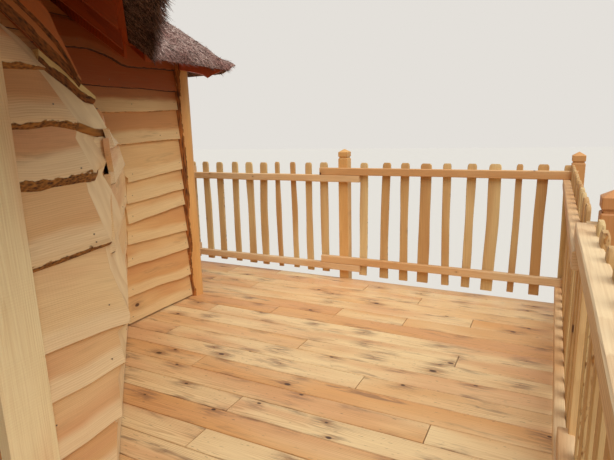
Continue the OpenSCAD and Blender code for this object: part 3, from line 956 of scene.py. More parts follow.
class Side(Enum):
    """A side of the deck: the layout's x and y along a panel's own x, along its own y, and at its origin."""

    FAR = ((1, 0), (0, 1), (0, 0))
    RIGHT = ((0, 1), (1, 0), (0, 0))
    NEAR = ((1, 0), (0, -1), (0, -6.124))
    BACK = ((0, 1), (-1, 0), (-5.294, 0))

    def place(self, shape: Shape) -> None:
        """Moves a shape from a panel's own axes to the layout's, and turns its faces where that mirrors it.

        Args:
            shape: What is moved.
        """
        along, out, origin = np.array(self.value)
        shape.corners = [np.concatenate([c[:, :1] * along + c[:, 1:2] * out + origin, c[:, 2:]], 1)
                         for c in shape.corners]
        if along[0] * out[1] < along[1] * out[0]:
            shape.faces = [np.where(f[:, 3:] < 0, f[:, [2, 1, 0, 3]], f[:, ::-1]) for f in shape.faces]


@dataclass
class Panel:
    """One panel of the railing, along x from a to b: two rails inside the posts, slats outside them.

    Attributes:
        node: The CAD node that it replaces.
        a, b: Ends of the rails.
        first, last: Middles of the first and last slats.
        lowered: True if its rails lie one rail's height lower.
        tops, feet: Each slat's top middle and width, and its foot's middle, where they are known.
        side: The side of the deck that it stands on.
        inset: How far the rails stand out from the deck side.
        wane, tone: How far the rails' edges waver, and the middle of their board tones.
        rail_top, foot_rail_top, rail_h, rail_t: Tops of the rails, and their section.
        slat_t, slat_pitch, slat_top, slat_foot: The slats' thickness, pitch, highest top and lowest foot.
    """

    node: str
    a: float
    b: float
    first: float
    last: float
    lowered: bool
    tops: Points2 = ()
    feet: Sequence[float] = ()
    side: Side = Side.FAR
    inset: float = 0.0
    wane: float = 0.0022
    tone: float = 0.5
    rail_top: float = 1.000
    foot_rail_top: float = 0.204
    rail_h: float = 0.061
    rail_t: float = 0.046
    slat_t: float = 0.024
    slat_pitch: float = 0.165
    slat_top: float = 1.045
    slat_foot: float = 0.037

    def build(self, seed: int) -> None:
        """Builds the panel's rails as one piece and its slats as another.

        Args:
            seed: Sets its grain, its wane and its unseen slats apart.
        """
        rng = np.random.default_rng(seed)
        rails, slats = Shape(), Shape()
        y = self.rail_t / 2 + self.inset
        for i, top in enumerate((self.rail_top, self.foot_rail_top)):
            z = top - self.rail_h / 2 - self.rail_h * self.lowered
            bar(rails, (self.a, y, z), (self.b, y, z), UP, self.rail_h, self.rail_t - 0.001, chamfer=0.004,
                wane=self.wane, wave=0.35, seed=seed * 2.3 + i * 7, tone=self.tone + rng.uniform(-0.25, 0.25))
        tops = self.tops
        if not tops:
            n = 1 + max(1, round((self.last - self.first) / self.slat_pitch))
            middles = np.linspace(self.first, self.last, n) + rng.uniform(-0.008, 0.008, n)
            tops = list(zip(middles, rng.uniform(0.05, 0.082, n)))
        y = self.rail_t + self.slat_t / 2
        for i, (x, width) in enumerate(tops):
            lean = self.feet[i] - x if i < len(self.feet) else rng.uniform(-0.02, 0.014)
            top = self.slat_top + rng.uniform(-0.008, 0.0)
            pale = rng.uniform(0, 1)
            bar(slats, (x + lean, y, self.slat_foot + rng.uniform(0, 0.012)), (x, y, top), (1, 0, 0), width,
                self.slat_t - rng.uniform(0.0, 0.006), chamfer=0.004, step=0.07, wane=0.005,
                bow=rng.uniform(0, 0.007), wave=0.28, seed=seed * 5.1 + i * 1.37, tone=pale,
                taper=((0, 1.0), (0.975, 1.0), (0.99, 0.92), (1.0, 0.68)), bark=0.42 * (rng.random() < 0.3))
        for part, shape, finish in (("rails", rails, RAIL_FIR), ("slats", slats, SLAT_FIR)):
            self.side.place(shape)
            make_piece(f"{self.node}_{part}", shape, finish, [self.node])


# Top middle and width of the slats that the photograph shows in the far railing's first and second
# panel, and the foot middles of the first panel's
FAR_SLATS: Points2 = (
    (-1.513, .070), (-1.311, .069), (-1.153, .066), (-0.983, .088), (-0.817, .061), (-0.627, .066),
    (-0.461, .084), (-0.286, .047), (-0.129, .073), (0.030, .049))
FAR_FEET = (-1.526, -1.334, -1.160, -0.997, -0.809, -0.645, -0.481, -0.310, -0.138)
MIDDLE_SLATS: Points2 = (
    (-3.360, .066), (-3.201, .075), (-3.030, .069), (-2.847, .066), (-2.683, .075), (-2.516, .068),
    (-2.366, .049), (-2.207, .056), (-2.045, .062), (-1.891, .070))


@dataclass
class Railing:
    """All panels and posts.

    Attributes:
        post_s, post_foot, post_top: A post's side, the height of its foot and that of its shaft's top.
        neck_h, neck_in, cap_h: Height of its saw-cut neck and how far that is cut in, and its cap's height.
        post_tones, packed_tone: Board tones of a row's posts, and of those on packing boards.
        packing: How far the right railing's middle posts stand out on their packing boards.
        post_x, post_y, bay_x, bay_y: Middle of the corner post, and how far apart the next ones stand.
        lap, clear: How far a rail runs past a post's middle, and how far the next slat keeps from it.
        corner: y of the right railing's last slat, by the corner.
        gap_post: x of the post beside the gap in the near railing.
    """

    post_s: float = 0.088
    post_foot: float = -0.378
    post_top: float = 1.052
    neck_h: float = 0.012
    neck_in: float = 0.007
    cap_h: float = 0.067
    post_tones: tuple[float, ...] = (1.3, 0.9, 0.6, 0.9, 0.6)
    packed_tone: float = 1.5
    packing: float = 0.034
    post_x: float = 0.090
    post_y: float = 0.090
    bay_x: float = 5.386 / 3
    bay_y: float = 2.072
    lap: float = 0.190
    clear: float = 0.189
    corner: float = 0.009
    gap_post: float = -1.836

    def build(self) -> None:
        """Builds each panel and each group of posts."""
        px = [self.post_x - i * self.bay_x for i in range(4)]
        py = [self.post_y - i * self.bay_y for i in range(4)]
        lap, clear, gap = self.lap, self.clear, self.gap_post
        panels = (
            Panel("railing_far_1", -1.91, self.post_x, 0, 0, False, FAR_SLATS, FAR_FEET),
            Panel("railing_far_2", px[2] - lap, -1.54, 0, 0, True, MIDDLE_SLATS),
            Panel("railing_far_3", px[3], px[2] + lap, px[3] + clear, px[2] - clear, False),
            Panel("railing_right_1", py[1] - lap, py[0], py[1] + clear, self.corner, True, side=Side.RIGHT),
            Panel("railing_right_2", py[2] - lap, py[1], py[2] + clear, py[1] - clear, False,
                  side=Side.RIGHT, inset=0.011, rail_t=0.060, wane=0.007, tone=0.05),
            Panel("railing_right_3", py[3], py[2] + lap, py[3] + clear, py[2] - clear, True, side=Side.RIGHT),
            Panel("railing_near", gap - self.post_s / 2, 0.046, gap + clear, self.corner, False,
                  side=Side.NEAR),
            Panel("railing_back", -0.706, 0.046, -0.640, -0.024, True, side=Side.BACK))
        for i, panel in enumerate(panels):
            panel.build(21 + i)
        back_x, near_y = Platform.low_x - self.post_s / 2, Platform.low_y - self.post_s / 2
        far = [(x, self.post_y, rise) for x, rise in zip(px, (0.0, 0.028, 0.008, 0.0))]
        self.posts("far", [*far, (back_x, -0.786, 0.0)])
        self.posts("right", [(self.post_x + self.packing, y, -0.01) for y in py[1:3]], packed=True)
        self.posts("near", [(self.post_x, py[3], 0.0), (gap, near_y, 0.01)])

    def posts(self, part: str, places: Sequence[Triple], packed: bool = False) -> None:
        """Stands square posts with a saw-cut neck and a four-sided pointed cap.

        Args:
            part: Which posts they are.
            places: x and y of each, and how much higher than the corner post it stands.
            packed: True where a packing board fills the space between the post and the deck's edge.
        """
        shape = Shape()
        neck = 1 - 2 * self.neck_in / self.post_s
        foot, cap = self.post_foot, self.cap_h
        for i, (x, y, rise) in enumerate(places):
            top = self.post_top + rise
            over = top + self.neck_h
            marks = ((foot, 1.0), (top - 0.006, 1.0), (top - 0.0005, 0.93), (top, neck), (over, neck),
                     (over + 0.0005, 0.96), (over + 0.004, 1.0), (over + 0.6 * cap, 1.0),
                     (over + 0.63 * cap, 0.94), (over + cap, 0.04))
            taper = tuple(((z - foot) / (over + cap - foot), s) for z, s in marks)
            seed = i * 3.9 + len(f"posts_{part}") + x
            bar(shape, (x, y, foot), (x, y, over + cap), (1, 0, 0), self.post_s - 0.001, self.post_s - 0.001,
                step=0.25, wane=0.0004, seed=seed, taper=taper,
                tone=self.packed_tone if packed else self.post_tones[i])
            if packed:
                x = Platform.high_x + self.packing / 2
                bar(shape, (x, y, -0.178), (x, y, 0.999), (0, 1, 0), self.post_s - 0.004,
                    self.packing - 0.001, seed=seed + 9, tone=0.4)
        make_piece(f"capped_posts_{part}", shape, POST_FIR, [f"posts_{part}"], sharp=25.0)


# Cabin


# A board's section, from its front's top down over the live edge and up its back: the share of the
# board's height, of its thickness, and of the live edge's height and bark, at each of its points
SECTION_RISE = np.array([1, .85, .65, .45, .25, .1, 0, 0, 0, 0, .1, .25, .45, .65, .85, 1])
SECTION_DEPTH = np.array([1, 1, 1, 1, 1, 1, 1, .80, .35, 0, 0, 0, 0, 0, 0, 0])
SECTION_EDGE = np.array([0, 0, 0, 0, 0, 0, 0, .5, 1, .8, 0, 0, 0, 0, 0, 0])
SECTION_BARK = np.array([0, 0, 0, 0, 0, 0, .45, 1, 1, 0, 0, 0, 0, 0, 0, 0])


def read(line: Points2, at: Array | float) -> Array:
    """What a line of pairs says in second place where it says some values in first, in straight steps."""
    return np.interp(at, *zip(*line))


def known(values: Sequence[float], i: int, drawn: float) -> float:
    """A board's value where it is given, and else the one that was drawn for it."""
    return values[i] if i < len(values) else drawn


@dataclass
class WallFace:
    """One outer face of the cabin that carries lapped live-edge boards.

    Boards stand on the right-hand side of the way from start to end, and distances along the face count
    from start.

    Attributes:
        start, end: Plan points of the face.
        edges, top: Each board's lower edge from the bottom up, and the last one's upper edge, as pairs of
            distance and height.
        left, right: Where boards begin and end, as pairs of height and distance.
        crease: Where the slanted cut at their right ends begins, in such pairs, or none.
        mirror: True for the same face on the cabin's other half.
        tilt, pivot: A leaning face moves out by tilt for each metre above the pivot's height.
        seed: Sets its boards apart.
        wane: Usual height of a live edge.
        wanes, barks, tones: Each board's, where they are known.
        pins: Distance and height of each nail where they are known, or None for a nail every 0.6 m.
        thick, lap: Thickness of a board, and how far it runs up behind the next one.
        lean: How far its lower edge stands out past its upper edge.
        joint_every: Longest run before a butt joint.
        rag, step: How far the ends waver, and the distance between a board's stations.
    """

    start: Pair
    end: Pair
    edges: Sequence[Points2]
    top: Points2
    left: Points2
    right: Points2
    crease: Points2 = ()
    mirror: bool = False
    tilt: float = 0.0
    pivot: float = 0.0
    seed: int = 0
    wane: float = 0.010
    wanes: Sequence[float] = ()
    barks: Sequence[float] = ()
    tones: Sequence[float] = ()
    pins: Points2 | None = None
    thick: float = 0.026
    lean: float = 0.024
    lap: float = 0.035
    joint_every: float = 3.2
    rag: float = 0.010
    step: float = 0.055

    def __post_init__(self) -> None:
        """Works out the face's direction and its outward side."""
        self.origin = np.array([*self.start, 0.0])
        span = np.array([*self.end, 0.0]) - self.origin
        self.way = span / np.linalg.norm(span)
        self.out = np.array([self.way[1], -self.way[0], 0.0])

    def place(self, s: Array, z: Array, offset: Array) -> Array:
        """Points on the face, mirrored if it is.

        Args:
            s: Distances along the face.
            z: Heights.
            offset: Offsets out from it.

        Returns:
            The points, shape (..., 3).
        """
        offset = offset + self.tilt * (z - self.pivot)
        points = self.origin + s[..., None] * self.way + offset[..., None] * self.out + z[..., None] * UP
        if self.mirror:
            points[..., 1] = 2 * CENTRE_Y - points[..., 1]
        return points

    def boards(self, shape: Shape, nails: list[tuple[Array, Array]]) -> None:
        """Adds the face's boards and the places of their nails.

        Args:
            shape: Where the boards go.
            nails: Where nail heads go, as a point and an outward direction.
        """
        rng = np.random.default_rng(self.seed)
        for i, (low_line, up_line) in enumerate(zip(self.edges, [*self.edges[1:], self.top])):
            level = np.mean([z for _, z in low_line]) + 0.02
            lap = self.lap if i + 1 < len(self.edges) else 0.0
            s0, s1 = read(self.left, level), read(self.right, level)
            if s1 - s0 < 0.03:
                continue
            pieces = max(1, round((s1 - s0) / self.joint_every))
            cuts = np.linspace(0, 1, pieces + 1)
            cuts[1:-1] += rng.uniform(-0.35, 0.35, pieces - 1) / pieces
            tone = known(self.tones, i, rng.uniform(0.05, 0.95))
            edge = known(self.wanes, i, rng.uniform(0.5 * self.wane, 2.0 * self.wane))
            bark = known(self.barks, i, rng.uniform(0.2, 1.0))
            for cut in zip(cuts, cuts[1:]):
                self.board(shape, i, cut, (s0, s1), (low_line, up_line, lap), (tone, edge, bark))
            if self.pins is None:
                along = np.append(np.arange(s0 + 0.05, s1 - 0.1, 0.6), s1 - 0.04)
                pins = [(s, read(low_line, s) + 0.045 + rng.uniform(-0.008, 0.012)) for s in along]
            else:
                pins = [p for p in self.pins if read(low_line, p[0]) <= p[1] < read(up_line, p[0])]
            for s, z in pins:
                low, up = read(low_line, s), read(up_line, s) + lap
                offset = 0.0042 + self.lean * (up - z) / (up - low) + self.thick
                way = self.out * (1, -1 if self.mirror else 1, 1)
                nails.append((self.place(*np.array((s, z, offset))), way))

    def board(
        self, shape: Shape, i: int, cut: Pair, span: Pair,
        lines: tuple[Points2, Points2, float], look: Triple,
    ) -> None:
        """Adds one board, a section carried along the face between its lower edge and the one above.

        At each station the section's heights run from the lower edge's line to the upper one's plus the
        lap. Noise moves the edge and the front. Past the crease the board is cut slantwise: its offset
        falls to a third at the very end, and its grain is read upwards there.

        Args:
            shape: Where it goes.
            i: Its number from the bottom.
            cut: Shares of the span where it begins and ends.
            span: Distances where the row begins and ends.
            lines: Its lower line, its upper line and its lap.
            look: Its board tone, the height of its live edge and its bark.
        """
        (low_line, up_line, lap), (tone, edge, barky) = lines, look
        row = self.seed * 3.3 + i * 1.7
        m = max(6, int((cut[1] - cut[0]) * (span[1] - span[0]) / self.step) + 1)
        q, g = np.linspace(*cut, m), np.zeros(m)
        if self.crease and cut[1] == 1:
            q, g = np.append(q, (1, 1, 1, 1)), np.append(g, (0.04, 0.35, 0.7, 1.0))
        bend = self.crease or self.right
        level = np.mean([z for _, z in low_line]) + 0.06
        turn, stop = read(bend, level), read(self.right, level)
        middle = span[0] + q * (turn - span[0]) + g * (stop - turn)
        line = read(low_line, middle)
        low = line + 0.006 * wander(middle, 0.22, row, 31) + 0.002 * wander(middle, 0.05, row, 32)
        low = np.maximum(low, 0.004)
        up = np.maximum(read(up_line, middle) + lap, low + 0.006)
        bevel = edge * (0.75 + 0.35 * wander(middle, 0.3, row, 33) + 0.2 * wander(middle, 0.07, row, 34))
        bevel = np.minimum(np.maximum(bevel, 0.002), np.maximum(low - 0.003, 0.001)) * (1 - 0.5 * g)
        q, g, low, up, line, bevel = (a[:, None] for a in (q, g, low, up, line, bevel))
        z = low + SECTION_RISE * (up - low) - SECTION_EDGE * bevel
        level = line + 0.004 + SECTION_RISE * (up - line)
        left, fold, right = (read(limit, level) for limit in (self.left, bend, self.right))
        left += self.rag * wander(z[0], 0.06, row + 9, 35) * (cut[0] == 0)
        right += self.rag * wander(z[-1], 0.06, row + 11, 36) * (cut[1] == 1)
        fold = np.minimum(fold, right - 0.004) if self.crease else right
        s = left + q * (fold - left) + g * (right - fold)
        face = 0.0022 * noise(join(s, z, row), (0.35, 0.08, 1.0), 37)
        offset = 0.002 + (1 - SECTION_RISE) * self.lean + SECTION_DEPTH * (self.thick + face)
        offset = offset * (1 - 0.65 * g)
        plain = join(s + row * 1.9, z - low, offset + row * 0.77)
        slant = join(z + row, 0.03 + 0.12 * (s - fold), row)
        grain = np.where(g[..., None] > 0, slant, plain)
        shape.loft(self.place(s, z, offset), grain, np.where(g > 0, 0.1, tone), SECTION_BARK * barky)


def ladder(length: float, top: float, seed: int) -> list[Points2]:
    """Lower edges for a wall of random live-edge boards, 0.15 to 0.27 m apart, each tilted a little.

    Args:
        length: The wall's length.
        top: The wall's height.
        seed: Picks another set.

    Returns:
        Each board's lower edge, as pairs of distance and height.
    """
    rng = np.random.default_rng(seed)
    edges: list[Points2] = [((0.0, 0.012), (length, 0.012))]
    level = 0.012
    while True:
        level += rng.uniform(0.15, 0.27)
        if level > top - 0.10:
            return edges
        stations = np.linspace(0, length, max(2, int(length / 0.9) + 1))
        edges.append(tuple(zip(stations, level + rng.uniform(-0.022, 0.022, len(stations)))))


# The entrance's far half as the photograph shows it: y and height along each board's lower edge
ENTRANCE_EDGES: tuple[Points2, ...] = (
    ((-2.95, .012), (-2.55, .012)),
    ((-2.95, .208), (-2.81, .211), (-2.65, .227), (-2.60, .201)),
    ((-2.95, .429), (-2.78, .424), (-2.61, .436), (-2.57, .411)),
    ((-2.95, .618), (-2.79, .613), (-2.66, .606), (-2.56, .594), (-2.52, .578)),
    ((-2.95, .923), (-2.83, .931), (-2.70, .938), (-2.61, .943), (-2.57, .932)),
    ((-2.95, 1.210), (-2.86, 1.201), (-2.75, 1.209), (-2.665, 1.216), (-2.60, 1.208)),
    ((-2.95, 1.381), (-2.84, 1.389), (-2.73, 1.389), (-2.686, 1.365), (-2.587, 1.356), (-2.525, 1.366)),
    ((-2.95, 1.569), (-2.80, 1.567), (-2.773, 1.598)))
# Height and y where its boards' slanted ends begin, and where they stop
ENTRANCE_CREASE: Points2 = (
    (.0, -2.66), (.225, -2.647), (.406, -2.635), (.432, -2.601), (.591, -2.613), (.600, -2.54),
    (.671, -2.561), (.828, -2.614), (.910, -2.623), (.942, -2.606), (1.043, -2.642), (1.158, -2.676),
    (1.200, -2.69), (1.211, -2.648), (1.340, -2.698), (1.365, -2.674), (1.409, -2.706), (1.556, -2.804),
    (1.80, -3.015))
ENTRANCE_ENDS: Points2 = (
    (.0, -2.70), (.035, -2.695), (.186, -2.657), (.195, -2.619), (.37, -2.584), (.411, -2.572),
    (.483, -2.556), (.558, -2.543), (.578, -2.526), (.657, -2.524), (.795, -2.509), (.881, -2.513),
    (.926, -2.530), (.932, -2.571), (.987, -2.520), (1.018, -2.509), (1.057, -2.514), (1.121, -2.533),
    (1.204, -2.576), (1.208, -2.616), (1.216, -2.572), (1.245, -2.545), (1.327, -2.575), (1.350, -2.600),
    (1.366, -2.525), (1.397, -2.547), (1.430, -2.565), (1.469, -2.585), (1.500, -2.620), (1.598, -2.773),
    (1.80, -2.990))
# The three trims down the gable's edge, from the lowest: how far each stands out, its live edge's height,
# its board tone, and y with the height over the rake's line along its lower and its upper edge
RAKE_TRIMS: tuple[tuple[float, float, float, Points2, Points2], ...] = (
    (0.012, 0.040, 0.05,
     ((-2.80, -.050), (-2.770, -.045), (-2.742, -.038), (-2.714, -.031), (-2.678, -.027), (-2.642, -.026),
      (-2.615, -.014), (-2.593, -.004)),
     ((-2.80, -.034), (-2.763, -.031), (-2.730, -.023), (-2.698, -.015), (-2.658, -.007), (-2.593, .004))),
    (0.030, 0.028, 0.70,
     ((CENTRE_Y, -.010), (-2.888, -.003), (-2.840, .005), (-2.795, .004), (-2.738, .006), (-2.681, .0),
      (-2.660, -.006)),
     ((CENTRE_Y, .041), (-2.803, .038), (-2.728, .030), (-2.681, .010), (-2.660, .003))),
    (0.046, 0.014, 0.95,
     ((CENTRE_Y, .030), (-2.865, .034), (-2.803, .041), (-2.776, .040), (-2.748, .038), (-2.731, .030),
      (-2.707, .015), (-2.686, -.010)),
     ((CENTRE_Y, .108), (-2.798, .106), (-2.771, .105), (-2.758, .089), (-2.745, .062), (-2.728, .049),
      (-2.706, .023), (-2.686, .001))))
# Nails in those boards: y and height
ENTRANCE_PINS: Points2 = (
    (-2.775, 1.448), (-2.699, 1.229), (-2.677, .984), (-2.673, .953), (-2.645, .696), (-2.661, .476),
    (-2.921, .340))


def along_y(points: Points2) -> Points2:
    """Pairs of y and height as pairs of distance from the middle line and height."""
    return tuple((y - CENTRE_Y, z) for y, z in points)


def limit_y(points: Points2) -> Points2:
    """Pairs of height and y as pairs of height and distance from the middle line."""
    return tuple((z, y - CENTRE_Y) for z, y in points)


@dataclass
class Cabin:
    """Cladding, corner logs, door planks, rake boards and what shows inside.

    Attributes:
        front_x, entry_x, side_y, back_x: Frame faces of the front, the entrance, the far side and the back.
        entry_y, porch_y: y of the porch wall's two ends at the pivot's height.
        door_y, door_h: y of the doorway's far side, and its height.
        jamb_w, jamb_t: Width and thickness of a jamb plank.
        log_r, log_top: A corner log's radius, and the height of its top.
        eaves_h, porch_end_h: Height of the porch roof's underside at those two ends.
        rake_slope: How much the rakes rise for each metre.
        porch_lean: How much the porch walls lean out for each metre above porch_end_h.
        wall_top, side_top: Tops of the front's and the sides' boards.
        porch_top: Distance along the porch wall and height of its boards' top.
        chip: Where a chip of wood by those boards begins and ends past the corner, and its height.
    """

    front_x: float = -2.740
    entry_x: float = -1.630
    side_y: float = -0.830
    back_x: float = -5.180
    entry_y: float = -2.573
    porch_y: float = -1.463
    door_y: float = -3.095
    door_h: float = 1.700
    jamb_w: float = 0.165
    jamb_t: float = 0.060
    log_r: float = 0.062
    log_top: float = 1.915
    eaves_h: float = 1.460
    porch_end_h: float = 1.070
    rake_slope: float = 0.875
    porch_lean: float = math.tan(math.radians(5))
    wall_top: float = 2.016
    side_top: float = 1.883
    porch_top: Points2 = ((0.0, 1.365), (0.6, 1.275), (1.57, 1.058))
    chip: Triple = (-0.03, 0.055, 1.285)

    def build(self) -> None:
        """Builds the cladding wall by wall, then the logs, the door's planks and the rake boards."""
        nails: list[tuple[Array, Array]] = []
        walls = {"front": self.front_faces(), "porch": self.porch_faces(), "entrance": self.entrance_faces(),
                 "sides": self.side_faces(), "back": self.back_faces()}
        for name, faces in walls.items():
            shape = Shape()
            for face in faces:
                face.boards(shape, nails)
            finish = FRONT_FIR if name == "front" else CLAD_FIR
            make_piece(f"cladding_{name}", shape, finish, sharp=38.0)
        self.porch_shell()
        self.rakes()
        self.nail_heads(nails)
        self.corner_logs()
        self.door_planks()

    def roofline(self, y: float) -> float:
        """Height of the porch roof boards where they meet the cabin's front, at a y of the far half."""
        return self.porch_end_h - 0.015 + self.rake_slope * (self.porch_y - y)

    def rake_z(self, y: float, drop: float = 0.0) -> float:
        """Height of the rake's line at a y of the far half, less a drop at right angles to it."""
        return self.eaves_h + self.rake_slope * (self.entry_y - y) - drop * math.hypot(1, self.rake_slope)

    def front_faces(self) -> list[WallFace]:
        """The front: boards as the photograph shows them on the far half, and others on the near half.

        Returns:
            The two halves.
        """
        ys = (-1.50, -0.87)
        heights = ((.012, .012), (.208, .188), (.420, .416), (.578, .560), (.728, .775), (.864, .900),
                   (1.006, 1.056), (1.275, 1.288), (1.485, 1.512), (1.648, 1.647))
        far = [along_y(tuple(zip(ys, pair))) for pair in heights]
        far.append(along_y(
            ((-2.20, 1.86), (-1.81, 1.859), (-1.64, 1.869), (-1.52, 1.838), (-1.41, 1.787), (-0.87, 1.800))))
        foot, knee = (self.porch_y + math.sqrt(2) * (0.012 + self.porch_lean * (z - self.porch_end_h))
                      for z in (0.0, self.porch_end_h))
        climb = limit_y(((0.0, foot), (self.porch_end_h, knee), (self.roofline(-1.47), -1.47),
                         (self.roofline(-2.60), -2.60)))
        ends = limit_y(((0.0, -0.872), (2.1, -0.872)))
        reach = -CENTRE_Y - 0.7
        top = ((0.0, self.wall_top), (reach, self.wall_top))
        face = WallFace(
            (self.front_x, CENTRE_Y), (self.front_x, 0.0), far, top, climb, ends, seed=51, wane=0.007,
            # Bark on every lower edge, near-black in FRONT_FIR, is partly painted shadow under the lap above
            barks=(0.45,) * 9 + (0.8, 0.9), wanes=(0.004,) * 9 + (0.009, 0.011),
            # Tones above 1 on the top boards mix in the deep colour: painted shade under the eaves
            tones=(.5, .75, .6, .5, .35, .6, .4, 1.1, 1.85, 2.9, 2.9))
        return [face, replace(
            face, edges=ladder(reach, self.wall_top, 61), mirror=True, seed=52, barks=(), wanes=(),
            # The same painted shade under the eaves on this half's top boards
            tones=(.4, .7, .5, .6, .3, .7, .5, .8, 1.3, 2.6, 2.9))]

    def porch_faces(self) -> list[WallFace]:
        """The two leaning porch walls, at 45 degrees.

        Their boards' ends stop unevenly at the entrance's corner, most in the top board and the low ones.

        Returns:
            The far one and the near one.
        """
        length = math.hypot(self.front_x - self.entry_x, self.porch_y - self.entry_y)
        rng = np.random.default_rng(71)
        edges = [((0.0, z), (length, z * 0.985)) for z in (.012, .200, .400, .600, .900, 1.16, 1.30)]
        ends = []
        for z in np.linspace(0, 1.5, 51):
            proud = 0.055 if z > 1.24 else 0.03 if z < 1.12 else 0.0
            ends.append((z, self.porch_lean * (z - self.porch_end_h) + rng.uniform(0.0, 0.02) - proud))
        foot = length - self.porch_lean * self.porch_end_h + 0.045
        limit = ((0.0, foot), (self.porch_end_h, length + 0.045), (self.eaves_h, 0.0))
        face = WallFace(
            (self.entry_x, self.entry_y), (self.front_x, self.porch_y), edges, self.porch_top, ends, limit,
            tilt=self.porch_lean, pivot=self.porch_end_h, seed=71, lap=0.03, thick=0.022, lean=0.020,
            tones=(.3, .2, .35, .2, .3, .2, .3),
            pins=[(s, z + 0.05) for s in (0.35, 0.8, 1.25) for z in (.012, .2, .4, .6, .9)])
        return [face, replace(face, mirror=True, seed=72)]

    def porch_shell(self) -> None:
        """The leaning walls behind the porch's boards, and the thin boarding of its roof over the lobby."""
        stations = 24
        s = np.linspace(0.0, math.hypot(self.front_x - self.entry_x, self.porch_y - self.entry_y), stations)
        top = read(self.porch_top, s) - 0.008
        s, z, deep = s[:, None], join(0.0, top, top, 0.0), np.array([-0.002, -0.002, -0.085, -0.085])
        x = np.linspace(self.entry_x - 0.03, self.front_x, stations)
        eave = self.entry_y - (x - self.entry_x)
        low = np.linspace(self.porch_top[0][1], self.porch_end_h, stations)
        high = low + self.rake_slope * (eave - CENTRE_Y)
        height = join(low - 0.016, high - 0.016, high + 0.006, low + 0.006)
        for face, part in zip(self.porch_faces(), ("far", "near")):
            wall, roof = Shape(), Shape()
            wall.loft(face.place(s, z, deep), join(s, z, deep), 0.6)
            chip = [(self.entry_x + 0.012, self.entry_y + dy, self.chip[2]) for dy in self.chip[:2]]
            chip = [near(p) for p in chip] if face.mirror else chip
            bar(wall, *chip, -UP, 0.10, 0.020, tone=0.2, seed=6.0, ends=(0.0, 0.04))
            make_piece(f"porch_shell_{part}", wall, CLAD_FIR, [f"porch_wall_{part}"])
            plan = join(eave, CENTRE_Y, CENTRE_Y, eave)
            plan = 2 * CENTRE_Y - plan if face.mirror else plan
            roof.loft(join(x[:, None], plan, height))
            make_piece(f"porch_boarding_{part}", roof, PORCH_LINING, [f"porch_roof_{part}"])

    def entrance_faces(self) -> list[WallFace]:
        """The entrance: big boards beside the doorway, cut under the rake boards, and a few above the door.

        Returns:
            The far side, the near side and the part above the door.
        """
        beside = self.door_y + 0.06
        top = along_y(((CENTRE_Y, 1.79), (-2.97, 1.79), (-2.59, 1.455), (-2.43, 1.455)))
        face = WallFace(
            (self.entry_x, CENTRE_Y), (self.entry_x, 0.0), [along_y(e) for e in ENTRANCE_EDGES], top,
            limit_y(((0.0, beside), (2.0, beside))), limit_y(ENTRANCE_ENDS), limit_y(ENTRANCE_CREASE),
            seed=81, thick=0.032, rag=0.004, pins=along_y(ENTRANCE_PINS),
            wanes=(0.004, 0.005, 0.005, 0.006, 0.024, 0.052, 0.036, 0.030),
            # Tones of 1.1 on the two top boards mix in some of the deep colour: painted shade under the porch
            # roof
            barks=(0.0, 0.0, 0.0, 0.2, 0.9, 1.0, 1.0, 1.0), tones=(.7, .55, .6, .12, .62, .7, 1.1, 1.1))
        moved = [tuple((s, z + 0.03 * (i % 3 - 1) * (i > 0)) for s, z in e) for i, e in enumerate(face.edges)]
        mirrored = replace(face, edges=moved, mirror=True, seed=82, wanes=face.wanes[::-1],
                           barks=face.barks[::-1], tones=(), pins=None)
        rake = ((1.78, 0.48), (1.79, 0.40), (2.10, 0.10), (2.20, 0.02))
        head = WallFace(
            (self.entry_x, CENTRE_Y - 1.0), (self.entry_x, CENTRE_Y),
            [((0.0, z), (2.0, z)) for z in (1.79, 1.93, 2.04)], ((0.0, 2.12), (2.0, 2.12)),
            [(z, 1.0 - s) for z, s in rake], [(z, 1.0 + s) for z, s in rake], seed=83)
        return [face, mirrored, head]

    def side_faces(self) -> list[WallFace]:
        """The far and near sides, between the corner logs.

        Returns:
            The far one and the near one.
        """
        length = self.front_x - self.back_x
        face = WallFace(
            (self.front_x, self.side_y), (self.back_x, self.side_y), ladder(length, self.side_top, 91),
            ((0, self.side_top), (length, self.side_top)), ((0, 0.02), (2, 0.02)),
            ((0, length - 0.02), (2, length - 0.02)), seed=91, joint_every=3.0)
        return [face, replace(face, edges=ladder(length, self.side_top, 92), mirror=True, seed=92)]

    def back_faces(self) -> list[WallFace]:
        """The back, between its corner logs, in boards up to 2.7 m long.

        Returns:
            The one face.
        """
        length = 2 * (self.side_y - CENTRE_Y)
        return [WallFace(
            (self.back_x, self.side_y), near((self.back_x, self.side_y)), ladder(length, self.wall_top, 95),
            ((0, self.wall_top), (length, self.wall_top)), [(0, 0.04), (2.1, 0.04)],
            [(0, length - 0.04), (2.1, length - 0.04)], seed=95, joint_every=2.7)]

    def rakes(self) -> None:
        """Lapped live-edge trims down the entrance's gable, the upper ones over the porch roof's edge."""
        shape = Shape()
        for i, (stand, edge, tone, low, high) in enumerate(RAKE_TRIMS):
            x = self.entry_x + stand
            lower, upper = (tuple((y - CENTRE_Y, self.rake_z(y) + over) for y, over in line)
                            for line in (low, high))
            start, stop = lower[0][0] + 0.004, lower[-1][0]
            face = WallFace(
                (x, CENTRE_Y), (x, 0.0), [lower], upper, ((0, start), (3, start)), ((0, stop), (3, stop)),
                seed=21 + 3 * i, wanes=(edge,), barks=(1.0,), tones=(tone,), lean=0.0, thick=0.030, rag=0.004,
                step=0.02, pins=())
            for side in (face, replace(face, mirror=True, seed=face.seed + 1)):
                side.boards(shape, [])
        make_piece("rake_trims", shape, RAKE_FIR, ["rake_boards"])

